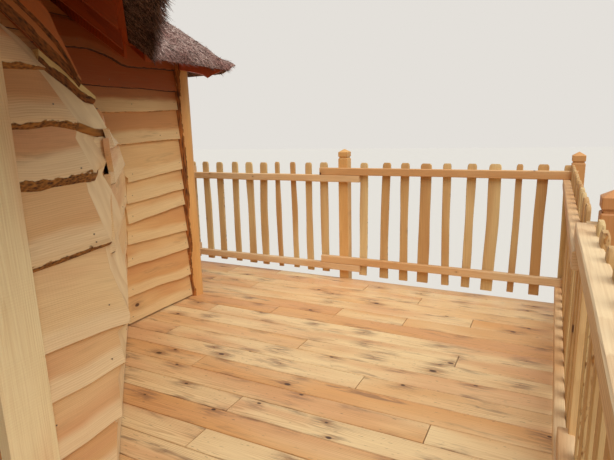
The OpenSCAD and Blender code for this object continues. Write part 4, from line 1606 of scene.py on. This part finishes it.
    def nail_heads(self, nails: list[tuple[Array, Array]]) -> None:
        """Flat nail heads 6 mm across: a ring of 6 points, set in from a wider one.

        Args:
            nails: Where they go, as a point and an outward direction.
        """
        shape = Shape()
        turn = np.arange(6) * math.pi / 3
        rings = ((-0.004, 0.0032), (0.0004, 0.0032), (0.0010, 0.0020))
        for point, out in nails:
            disc = circle(turn, np.cross(UP, out), UP)
            shape.loft(np.stack([point + out * height + disc * radius for height, radius in rings]))
        make_piece("cladding_nails", shape, NAIL_STEEL)

    def corner_logs(self) -> None:
        """A peeled log at each corner, up to the rafters, with a strip of bark beside the front's boards."""
        shape = Shape()
        front, back = ((x, self.side_y + 0.010) for x in (self.front_x + 0.040, self.back_x - 0.040))
        for (x, y), streak, seed in ((front, 98.0, 1.2), (back, 60.0, 4.5), (near(front), 262.0, 7.1),
                                     (near(back), 300.0, 9.4)):
            pole(shape, (x, y, 0.0), (x, y, self.log_top), self.log_r, sides=24, step=0.04, rough=0.10,
                 seed=seed, tone=0.35, streak=streak, knots=0.006)
        make_piece("corner_logs_peeled", shape, LOG_FIR, ["corner_logs"])

    def door_planks(self) -> None:
        """A sawn plank on each side of the doorway and one over it."""
        shape = Shape()
        x = self.entry_x + self.jamb_t / 2
        far = (x, self.door_y + self.jamb_w / 2)
        high = self.rake_z(self.door_y, 0.110)
        for i, (x, y) in enumerate((far, near(far))):
            bar(shape, (x, y, 0.0), (x, y, high), (0, 1 - 2 * i, 0), self.jamb_w - 0.002, self.jamb_t - 0.002,
                chamfer=0.0025, step=0.06, wane=0.0012, wave=0.4, seed=3.3 + i * 4, tone=0.3 + 0.2 * i,
                ends=(0.0, self.rake_slope * self.jamb_w))
        over = (x, self.door_y, self.door_h + 0.045)
        bar(shape, over, near(over), UP, 0.088, self.jamb_t - 0.004, wane=0.002, seed=12.4)
        make_piece("door_planks", shape, JAMB_FIR, ["door_frame"])


# Roof


@dataclass
class Slope:
    """One slope of the roof, drawn in distance along its eaves (t) and distance in from them (r).

    Attributes:
        name: Part of its pieces' names.
        plan, foot: Its corners in plan, and a point on its eaves line.
        azimuth: The way it falls, in degrees from +x.
        straws, length: How many straws lie on it, and how long they are beside the shortest ones.
        fringe: Longest straw over the eaves.
        shade: How much darker its straws and its pad are, from 0 to 1, as painted shade.
        pitch, eaves_h: How steep every slope is, in radians, and the height of its eaves.
    """

    name: str
    plan: Points2
    foot: Pair
    azimuth: float
    straws: int
    length: float
    fringe: float
    shade: float = 0.0
    pitch: float = math.radians(40)
    eaves_h: float = 1.785

    def __post_init__(self) -> None:
        """Works out its directions and its outline in t and r."""
        a = math.radians(self.azimuth)
        self.fall, self.along = np.array([[math.cos(a), math.sin(a)], [-math.sin(a), math.cos(a)]])
        self.side = np.array([*self.along, 0.0])
        self.down = np.array([*(self.fall * math.cos(self.pitch)), -math.sin(self.pitch)])
        self.normal = np.array([*(self.fall * math.sin(self.pitch)), math.cos(self.pitch)])
        d = np.array(self.plan, float) - self.foot
        self.outline = np.stack([d @ self.along, -(d @ self.fall)], -1)

    def span(self, value: Array, axis: int) -> tuple[Array, Array]:
        """Where lines of constant t (axis 0) or constant r (axis 1) enter and leave the outline.

        Each of the outline's edges is cut by the line, and the lowest and highest cuts are kept.

        Args:
            value: The constants.
            axis: 0 for t, 1 for r.

        Returns:
            The lowest and highest value of the other coordinate, NaN where a line misses.
        """
        value = np.asarray(value, float)
        hits = []
        for p, q in zip(self.outline, np.roll(self.outline, -1, 0)):
            d = q[axis] - p[axis]
            f = (value - p[axis]) / (d if abs(d) > 1e-9 else np.inf)
            hit = (f >= -1e-9) & (f <= 1 + 1e-9) & (abs(d) > 1e-9)
            hits.append(np.where(hit, p[1 - axis] + f * (q[1 - axis] - p[1 - axis]), np.nan))
        none = np.isnan(hits).all(0)
        cuts = np.where(none, 0, hits)
        return np.where(none, np.nan, np.nanmin(cuts, 0)), np.where(none, np.nan, np.nanmax(cuts, 0))

    def point(self, t: Array, r: Array, depth: Array | float = 0.0) -> Array:
        """Points over the slope.

        Args:
            t, r: Distances along the eaves and in from them.
            depth: How far they are raised from the thatch's lower face, at right angles to the slope.

        Returns:
            The points, shape (..., 3).
        """
        t, r, depth = np.broadcast_arrays(*(np.asarray(v, float) for v in (t, r, depth)))
        plan = np.asarray(self.foot) + t[..., None] * self.along - r[..., None] * self.fall
        z = self.eaves_h + r * math.tan(self.pitch) + depth / math.cos(self.pitch)
        return np.concatenate([plan, z[..., None]], -1)

    def hip_gap(self, t: Array, r: Array) -> Array:
        """Distance in plan from the nearest hip, valley or ridge: the outline's edges other than the eaves.

        Args:
            t, r: Distances along the eaves and in from them.

        Returns:
            The distances.
        """
        gaps = []
        for p, q in zip(self.outline, np.roll(self.outline, -1, 0)):
            if max(p[1], q[1]) > 0.01:
                e = unit(q - p)
                gaps.append(np.abs((t - p[0]) * e[1] - (r - p[1]) * e[0]))
        return np.min(gaps, 0)

    def scatter(self, rng: np.random.Generator, count: int, low: float, high: float) -> tuple[Array, Array]:
        """Random places on the slope, drawn evenly in t and r and kept where the outline holds them.

        Args:
            rng: Where their numbers come from.
            count: How many at most.
            low, high: How far in from the eaves.

        Returns:
            Their t and r.
        """
        t = rng.uniform(self.outline[:, 0].min(), self.outline[:, 0].max(), count * 4)
        r = rng.uniform(low, high, count * 4)
        left, right = self.span(np.clip(r, 1e-6, self.outline[:, 1].max() - 1e-6), 1)
        keep = np.flatnonzero((t > left) & (t < right))[:count]
        return t[keep], r[keep]


@dataclass
class Roof:
    """Thatch, ridge roll, soffit boards, rafters and the hip boards' tails.

    Attributes:
        thatch, overhang: Thickness of the thatch, and how far it reaches past its boards.
        lining, board: Thickness and pitch of the boards.
        rafter_h, rafter_w, rafter_pitch: The rafters' section and spacing.
        hip_t: Thickness of a hip board.
        ridge_r, ridge_rise: Radius of the ridge roll, and height of its middle over the thatch's top.
        round_r: How far in from the eaves the thatch reaches its full thickness.
        worn_in, worn_up: At a corner, how far from it the thatch is worn, and how far it moves there.
        straw_len: Shortest and longest straw on the slope that the photograph shows.
        tail: Pairs of a hip tail's distance in from the corner and the height of its lower edge.
        hip_far, hip_back, ridge_end, peak: The far half's corners and the ridge's ends, in plan.
        reach: Lowest x and y, and highest z, of any straw.
    """

    thatch: float = 0.050
    overhang: float = 0.130
    lining: float = 0.022
    board: float = 0.145
    rafter_h: float = 0.075
    rafter_w: float = 0.060
    rafter_pitch: float = 0.560
    hip_t: float = 0.040
    ridge_r: float = 0.130
    ridge_rise: float = 0.052
    round_r: float = 0.050
    worn_in: Pair = (0.28, 0.035)
    worn_up: Pair = (0.18, 0.05)
    straw_len: Pair = (0.022, 0.065)
    tail: Points2 = ((.080, 1.809), (.109, 1.796), (.152, 1.774), (.159, 1.770), (.161, 1.769), (.190, 1.742),
                     (.219, 1.767), (.284, 1.787), (.338, 1.800))
    hip_far: Pair = (-2.300, -0.550)
    hip_back: Pair = (-5.620, -0.550)
    ridge_end: Pair = (-3.960, -2.210)
    peak: Pair = (-3.4547, CENTRE_Y)
    reach: Triple = (-5.617, -6.307, 3.850)

    def slopes(self) -> list[Slope]:
        """The seven slopes: three and their mirror images, and the back.

        Returns:
            The slopes, the far half's each before its mirror image.
        """
        valley, tip = (-2.300, -1.5224), (-0.3924, CENTRE_Y)
        hip_far, hip_back, ridge, peak = self.hip_far, self.hip_back, self.ridge_end, self.peak
        made = []
        for name, plan, azimuth, (far, other), fringe, shade in (
                ("front", (hip_far, valley, ridge), 0.0, (18000, 9000), 0.022, 0.0),
                # The porch's slopes are painted 0.6 darker for the shade that their edges lie in
                ("porch", (valley, tip, peak, ridge), 45.0, (32000, 24000), 0.075, 0.6),
                ("side", (hip_far, ridge, hip_back), 90.0, (18000, 18000), 0.012, 0.0)):
            mirrored = [near(p) for p in plan]
            made.append(Slope(f"{name}_far", plan, plan[0], azimuth, far, 1.0, fringe, shade))
            made.append(Slope(f"{name}_near", mirrored, mirrored[0], -azimuth, other, 1.5, fringe, shade))
        plan = (hip_back, ridge, peak, near(ridge), near(hip_back))
        return [*made, Slope("back", plan, hip_back, 180.0, 34000, 1.8, 0.030)]

    def build(self) -> None:
        """Builds each slope's thatch, the ridge roll, the boards, the rafters and the hip tails."""
        boards, rafters = Shape(), Shape()
        for i, slope in enumerate(self.slopes()):
            self.thatch_slope(slope, i)
            self.soffit(slope, boards, i)
            self.rafters(slope, rafters, i)
        self.hip_tails(rafters)
        make_piece("soffit_boards", boards, SOFFIT_FIR, ["roof_boards"])
        make_piece("rafter_timbers", rafters, SOFFIT_FIR, ["rafters"])
        self.ridge()

    def thatch_slope(self, slope: Slope, number: int) -> None:
        """A closed pad of heather: a grid of t and r whose top stands a depth above its bottom.

        The depth rises from 0 at the eaves as a quarter circle, then holds; noise lifts and dents it,
        fading to nothing at the hips. Straws lie over it, hang over the eaves and cover its underside
        as far as the boards, those underneath dark as painted shade.

        Args:
            slope: Where it lies.
            number: Sets its noise apart.
        """
        rng = np.random.default_rng(200 + number)
        reach = slope.outline[:, 1].max()
        curve = self.round_r * (1 - np.cos(np.linspace(0, math.pi / 2, 6)))
        level = np.linspace(self.round_r, reach, max(8, int(reach / 0.04)))
        r = np.unique(np.append(curve, level))
        low, high = slope.span(np.clip(r, 1e-6, reach - 1e-6), 1)
        q = np.linspace(0, 1, max(12, int((high - low).max() / 0.045)))[:, None]
        t, rr = np.broadcast_arrays(low + q * (high - low), r)
        flat = slope.point(t, rr)
        fade = smooth(slope.hip_gap(t, rr) / 0.10) * smooth(rr / 0.06)
        lump = noise(flat + number, 0.14, 41) * 0.009 + noise(flat, 0.05, 42) * 0.006
        lump = lump + noise(flat, 0.45, 43) * 0.008
        depth = np.maximum(self.depth(slope, t, rr) + (lump - 0.008) * fade, 0.0)
        rings = self.worn(np.concatenate([slope.point(t, rr, depth), slope.point(t, rr)[:, ::-1]], 1))
        shape = Shape()
        # The pad is dark, 0.10 to 0.32 in tone, as painted shade between the straws
        shade = 0.10 + 0.22 * smooth(0.5 + 0.5 * noise(rings, 0.04, 44))
        # slope.shade darkens the porch's pad and straws: painted shade
        shape.loft(rings, tone=shade * (1 - slope.shade))
        self.straw_coat(slope, shape, rng)
        nodes = [f"thatch_{slope.name}"]
        make_piece(f"heather_{slope.name}", shape, HEATHER, nodes, sharp=80.0)

    def depth(self, slope: Slope, t: Array, r: Array) -> Array:
        """Thickness of the thatch: a quarter circle up from the eaves, then level.

        It falls to a half at a hip, and to 0.3 of that at a corner.

        Args:
            slope: Where it lies.
            t, r: Distances along the eaves and in from them.

        Returns:
            The thicknesses.
        """
        f = np.clip(1 - r / self.round_r, 0, 1)
        share = 0.5 + 0.5 * smooth(slope.hip_gap(t, r) / 0.14)
        plan = slope.point(t, r)[..., :2]
        corners = (self.hip_far, self.hip_back, near(self.hip_far), near(self.hip_back))
        out = np.min([np.linalg.norm(plan - corner, axis=-1) for corner in corners], axis=0)
        share = share * (0.3 + 0.7 * smooth(out / 0.6))
        return self.thatch * share * np.sqrt(np.clip(1 - f * f, 0, 1))

    def worn(self, points: Array) -> Array:
        """Rounds the roof's four corners: points near one move in and up, most at the corner itself.

        Args:
            points: Points of the thatch.

        Returns:
            Where they move to.
        """
        (in_r, shift), (up_r, lift) = self.worn_in, self.worn_up
        for corner, way in ((self.hip_far, -1), (self.hip_back, 1)):
            for place, turn in ((corner, -1), (near(corner), 1)):
                gap = np.linalg.norm(points[..., :2] - place, axis=-1)[..., None]
                points = points + smooth(1 - gap / in_r) * (way * shift, turn * shift, 0)
                points = points + smooth(1 - gap / up_r) * (0, 0, lift)
        return points

    def straw_coat(self, slope: Slope, shape: Shape, rng: np.random.Generator) -> None:
        """Lays straws on a slope: crossed twigs on top, a fringe over the eaves, dark ones underneath.

        A straw runs down the slope, turned by a random angle, and lifts a little along the normal.

        Args:
            slope: Where they lie.
            shape: Where they go.
            rng: Where their numbers come from.
        """
        inner = slope.outline[:, 1].max()
        shortest, longest = (v * slope.length for v in self.straw_len)
        for share, low, high, kind in ((0.72, 0.004, inner, "coat"), (0.20, 0.003, 0.05, "fringe"),
                                       (0.08, 0.01, self.overhang, "under")):
            t, r = slope.scatter(rng, int(slope.straws * share), low, high)
            k = len(t)
            angle = rng.normal(0, 1.5, k)
            lift = rng.uniform(-0.03, 0.16, k)
            length = rng.uniform(shortest, longest, k)
            depth = self.depth(slope, t, r) - 0.004 + rng.uniform(-0.004, 0.004, k)
            tone = np.clip(rng.normal(0.52, 0.30, k), 0.02, 1.0) * (1 - slope.shade)
            if kind == "fringe":
                angle *= 0.45
                lift = rng.uniform(-0.55, 0.10, k)
                length = rng.uniform(0.3, 1.0, k) * slope.fringe + 0.5 * r
                depth = self.depth(slope, t, r) * rng.uniform(0.1, 1.0, k)
                tone *= rng.uniform(0.5, 1.0, k)
            if kind == "under":
                lift = rng.uniform(-0.10, 0.0, k)
                depth = np.full(k, -0.001)
                # Painted shade: the straws under the thatch are dark for the shade there
                tone = rng.uniform(0.02, 0.30, k)
            base = slope.point(t, r, depth)
            course = unit(circle(angle, slope.down, slope.side) + lift[:, None] * slope.normal)
            base, tip = self.worn(base), self.worn(base + course * length[:, None])
            tip[:, :2] = np.maximum(tip[:, :2], self.reach[:2])
            shape.spikes(base, tip - base, rng.uniform(0.0030, 0.0062, k), tone)

    def soffit(self, slope: Slope, shape: Shape, number: int) -> None:
        """Boards under the thatch, level with the eaves, their ends cut along the hips.

        Args:
            slope: Where they lie.
            shape: Where they go.
            number: Sets their grain and tones apart.
        """
        reach = slope.outline[:, 1].max()
        rng = np.random.default_rng(300 + number)
        deep = np.array([-0.001, -0.001, -self.lining, -self.lining])
        for i, r in enumerate(np.arange(self.overhang, reach - 0.03, self.board)):
            top_r = min(r + self.board - 0.003, reach - 0.012)
            low, high = slope.span(np.array([r, top_r, top_r, r]), 1)
            q = np.linspace(0, 1, max(2, int((high[0] - low[0]) / 0.5) + 2))[:, None]
            t = low + q * (high - low)
            across = np.array([-0.5, 0.5, 0.5, -0.5]) * self.board
            grain = join(t[:, :1] + number * 3.1 + i * 1.3, across, 0.4 * i)
            shape.loft(slope.point(t, (r, top_r, top_r, r), deep), grain, rng.uniform(0.0, 1.0))

    def rafters(self, slope: Slope, shape: Shape, number: int) -> None:
        """Rafters down the slope, plumb at their tails and cut along the hip boards at their heads.

        Args:
            slope: Where they lie.
            shape: Where they go.
            number: Sets their grain apart.
        """
        low, high = slope.outline[:, 0].min(), slope.outline[:, 0].max()
        first, last = math.ceil(low / self.rafter_pitch - 0.5), math.floor(high / self.rafter_pitch - 0.5)
        side = np.array([-1, 1, 1, -1]) * self.rafter_w / 2
        deep = np.array([0, 0, 1, 1]) * self.rafter_h
        for i in range(first, last + 1):
            t = (i + 0.5) * self.rafter_pitch
            tails, heads = slope.span(t + side, 0)
            if np.isnan(tails).any():
                continue
            start = max(self.overhang + 0.030, tails.max() + 0.02)
            heads = heads - 0.035
            if heads.min() - start < 0.06:
                continue
            r = start + np.linspace(0, 1, 6)[:, None] * (heads - start)
            grain = join(r[:, :1] + i + number * 2.7, side, deep)
            shape.loft(slope.point(t + side, r, -self.lining - deep), grain, 0.35 + 0.1 * (i % 4))

    def hip_tails(self, shape: Shape) -> None:
        """The curved tail of the hip board at each corner: a plate in the hip's plane, under the thatch.

        Its upper edge follows the thatch's underside as far as the boards, then the hip board's.

        Args:
            shape: Where they go.
        """
        d, bottom = np.array(self.tail).T
        under = np.where(d < self.overhang + 0.03, 0.003, 0.1276)
        top = Slope.eaves_h + d * math.tan(Slope.pitch) - under
        half = self.hip_t / 2 / math.sqrt(2) * np.array([1, -1, -1, 1])
        height = np.stack([top, top, bottom, bottom], 1)
        grain = join(d * math.sqrt(2), 0.0, bottom)[:, None]
        d = d[:, None]
        for corner, way in ((self.hip_far, -1), (self.hip_back, 1)):
            rings = join(corner[0] + way * d + half, corner[1] - d + way * half, height)
            shape.loft(rings, grain)
            shape.loft(rings * (1, -1, 1) + (0, 2 * CENTRE_Y, 0), grain + 1.0, 0.6)

    def ridge(self) -> None:
        """A roll of heather: a lumpy circle carried along the ridge line, with straws round it."""
        run = np.array([self.ridge_end, self.peak, near(self.ridge_end)])
        inward = run[:, 0] - self.hip_back[0]
        thatch_top = Slope.eaves_h + inward * math.tan(Slope.pitch) + self.thatch / math.cos(Slope.pitch)
        path = np.concatenate([run, (thatch_top + self.ridge_rise)[:, None]], 1)
        steps, sides = 56, 18
        q = np.linspace(0, 2, steps + 1)
        line = join(*(np.interp(q, [0, 1, 2], column) for column in path.T))
        way = unit(np.gradient(line, axis=0))
        side = unit(np.cross(way, UP))
        top = np.cross(side, way)
        turn = (np.arange(sides) + 0.5) * 2 * math.pi / sides
        ends = np.sqrt(np.clip(1 - np.clip(1 - np.minimum(q, 2 - q) / 0.10, 0, 1) ** 2, 0.02, 1))
        around = circle(turn, side[:, None], top[:, None])
        lump = noise(line[:, None] + around * self.ridge_r, 0.07, 51)
        r = self.ridge_r * ends[:, None] * (0.93 + 0.07 * lump)
        shape = Shape()
        # The roll's pad is dark, as painted shade between its straws
        shape.loft(line[:, None] + around * r[..., None], tone=0.2)
        rng = np.random.default_rng(400)
        k = 9000
        at, angle = rng.uniform(0.03, 1.97, k), rng.uniform(-0.2, math.pi + 0.2, k)
        i = np.clip((at / 2 * steps).astype(int), 0, steps)
        out = circle(angle, side[i], top[i])
        centre = join(*(np.interp(at, [0, 1, 2], column) for column in path.T))
        base = centre + out * (self.ridge_r * 0.90 * np.interp(at, q, ends))[:, None]
        down = -np.sign(np.cos(angle))[:, None] * np.cross(way[i], out)
        course = unit(circle(rng.normal(0, 0.9, k), down, way[i]) + 0.05 * out)
        tip = base + course * rng.uniform(0.05, 0.11, k)[:, None]
        tip[:, 2] = np.minimum(tip[:, 2], self.reach[2])
        width = rng.uniform(0.0025, 0.0045, k)
        shape.spikes(base, tip - base, width, np.clip(rng.normal(0.45, 0.22, k), 0.02, 1))
        make_piece("heather_ridge", shape, HEATHER, ["ridge_roll"], sharp=80.0)


# Studio


@dataclass
class Studio:
    """Floor, light and camera.

    Attributes:
        eye: The camera's place in the layout frame.
        yaw, pitch, roll: Its aim: degrees left of +y, down, and about its own axis.
        focal, frame_w, sensor: Its focal length and width in pixels, and its width in millimetres.
        backdrop: What is seen past the floor.
        sky, sun: Strengths of the even light from all round and of the wide soft light from above.
        sun_height, sun_azimuth: Where that light comes from: degrees up, and degrees from +x towards +y.
        sun_width: How wide it is, in degrees.
    """

    eye: Triple = (-0.0746, -3.894, 1.3487)
    yaw: float = 26.868
    pitch: float = 11.878
    roll: float = -1.543
    focal: float = 486.45
    frame_w: int = 614
    sensor: float = 36.0
    backdrop: str = "#e4e0da"
    sky: float = 0.32
    sun: float = 3.1
    sun_height: float = 58.0
    sun_azimuth: float = -38.0
    sun_width: float = 80.0

    def build(self) -> None:
        """Lays the floor, hangs the light and places the camera."""
        bpy.ops.mesh.primitive_plane_add(size=160.0)
        floor = bpy.context.object
        floor.name = "studio_floor"
        floor.data.materials.append(STUDIO_FLOOR.material())
        world = bpy.data.worlds.new("studio")
        bpy.context.scene.world = world
        world.use_nodes = True
        world.node_tree.nodes.clear()
        add = Graph(world.node_tree).add
        light, backdrop = add("Background", "#f4f6f2", self.sky), add("Background", self.backdrop, 1.0)
        add("OutputWorld", add("MixShader", seen_rays(add), light, backdrop))
        lamp = bpy.data.lights.new("overhead", "SUN")
        lamp.energy, lamp.angle = self.sun, math.radians(self.sun_width)
        lamp.color = linear("#fffdf8")[:3]
        hung = bpy.data.objects.new("overhead", lamp)
        bpy.context.scene.collection.objects.link(hung)
        up, around = math.radians(self.sun_height), math.radians(self.sun_azimuth)
        source = Vector((math.cos(up) * math.cos(around), math.cos(up) * math.sin(around), math.sin(up)))
        hung.location = source * 10.0
        hung.rotation_euler = source.to_track_quat("Z", "Y").to_euler()
        self.camera()
        bpy.context.scene.view_settings.view_transform = "Standard"

    def camera(self) -> None:
        """Places the camera: forward from yaw and pitch, then right and up turned by roll."""
        y, p, roll = (math.radians(v) for v in (self.yaw, self.pitch, self.roll))
        forward = np.array([-math.sin(y) * math.cos(p), math.cos(y) * math.cos(p), -math.sin(p)])
        level = np.array([math.cos(y), math.sin(y), 0.0])
        lift = np.cross(level, forward)
        right = level * math.cos(roll) + lift * math.sin(roll)
        up = -level * math.sin(roll) + lift * math.cos(roll)
        data = bpy.data.cameras.new("photo_view")
        data.sensor_width = self.sensor
        data.lens = self.focal / self.frame_w * self.sensor
        data.clip_start = 0.02
        data.clip_end = 300.0
        camera = bpy.data.objects.new("photo_view", data)
        bpy.context.scene.collection.objects.link(camera)
        placed = np.eye(4)
        placed[:3, 0], placed[:3, 1], placed[:3, 2] = right, up, -forward
        placed[:3, 3] = np.array(self.eye) + LAYOUT
        camera.matrix_world = Matrix(placed.tolist())
        bpy.context.scene.camera = camera


def dress_frame(frame: dict) -> None:
    """Gives the CAD nodes that stay in sight their materials.
    """
    walls = ("front_wall_far", "front_wall_near", "front_wall_upper", "side_wall_far", "side_wall_near",
             "back_wall", "entrance_wall_far", "entrance_wall_near", "entrance_wall_head")
    for finish, names in ((FRAME_FIR_X, ("bearers",)), (FRAME_FIR_Y, ("joists",)), (FLOOR_LINING, ("floor",)),
                          (HIP_FIR, ("hip_boards",)), (WALL_LINING, walls)):
        for name in names:
            piece = frame["nodes"][name]
            piece.data.materials.clear()
            piece.data.materials.append(finish.material())


def main() -> None:
    logging.basicConfig(level=logging.INFO, format="%(name)s: %(message)s")
    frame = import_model()
    dress_frame(frame)
    Platform().build()
    Railing().build()
    Cabin().build()
    Roof().build()
    Studio().build()


if __name__ == "__main__":
    main()
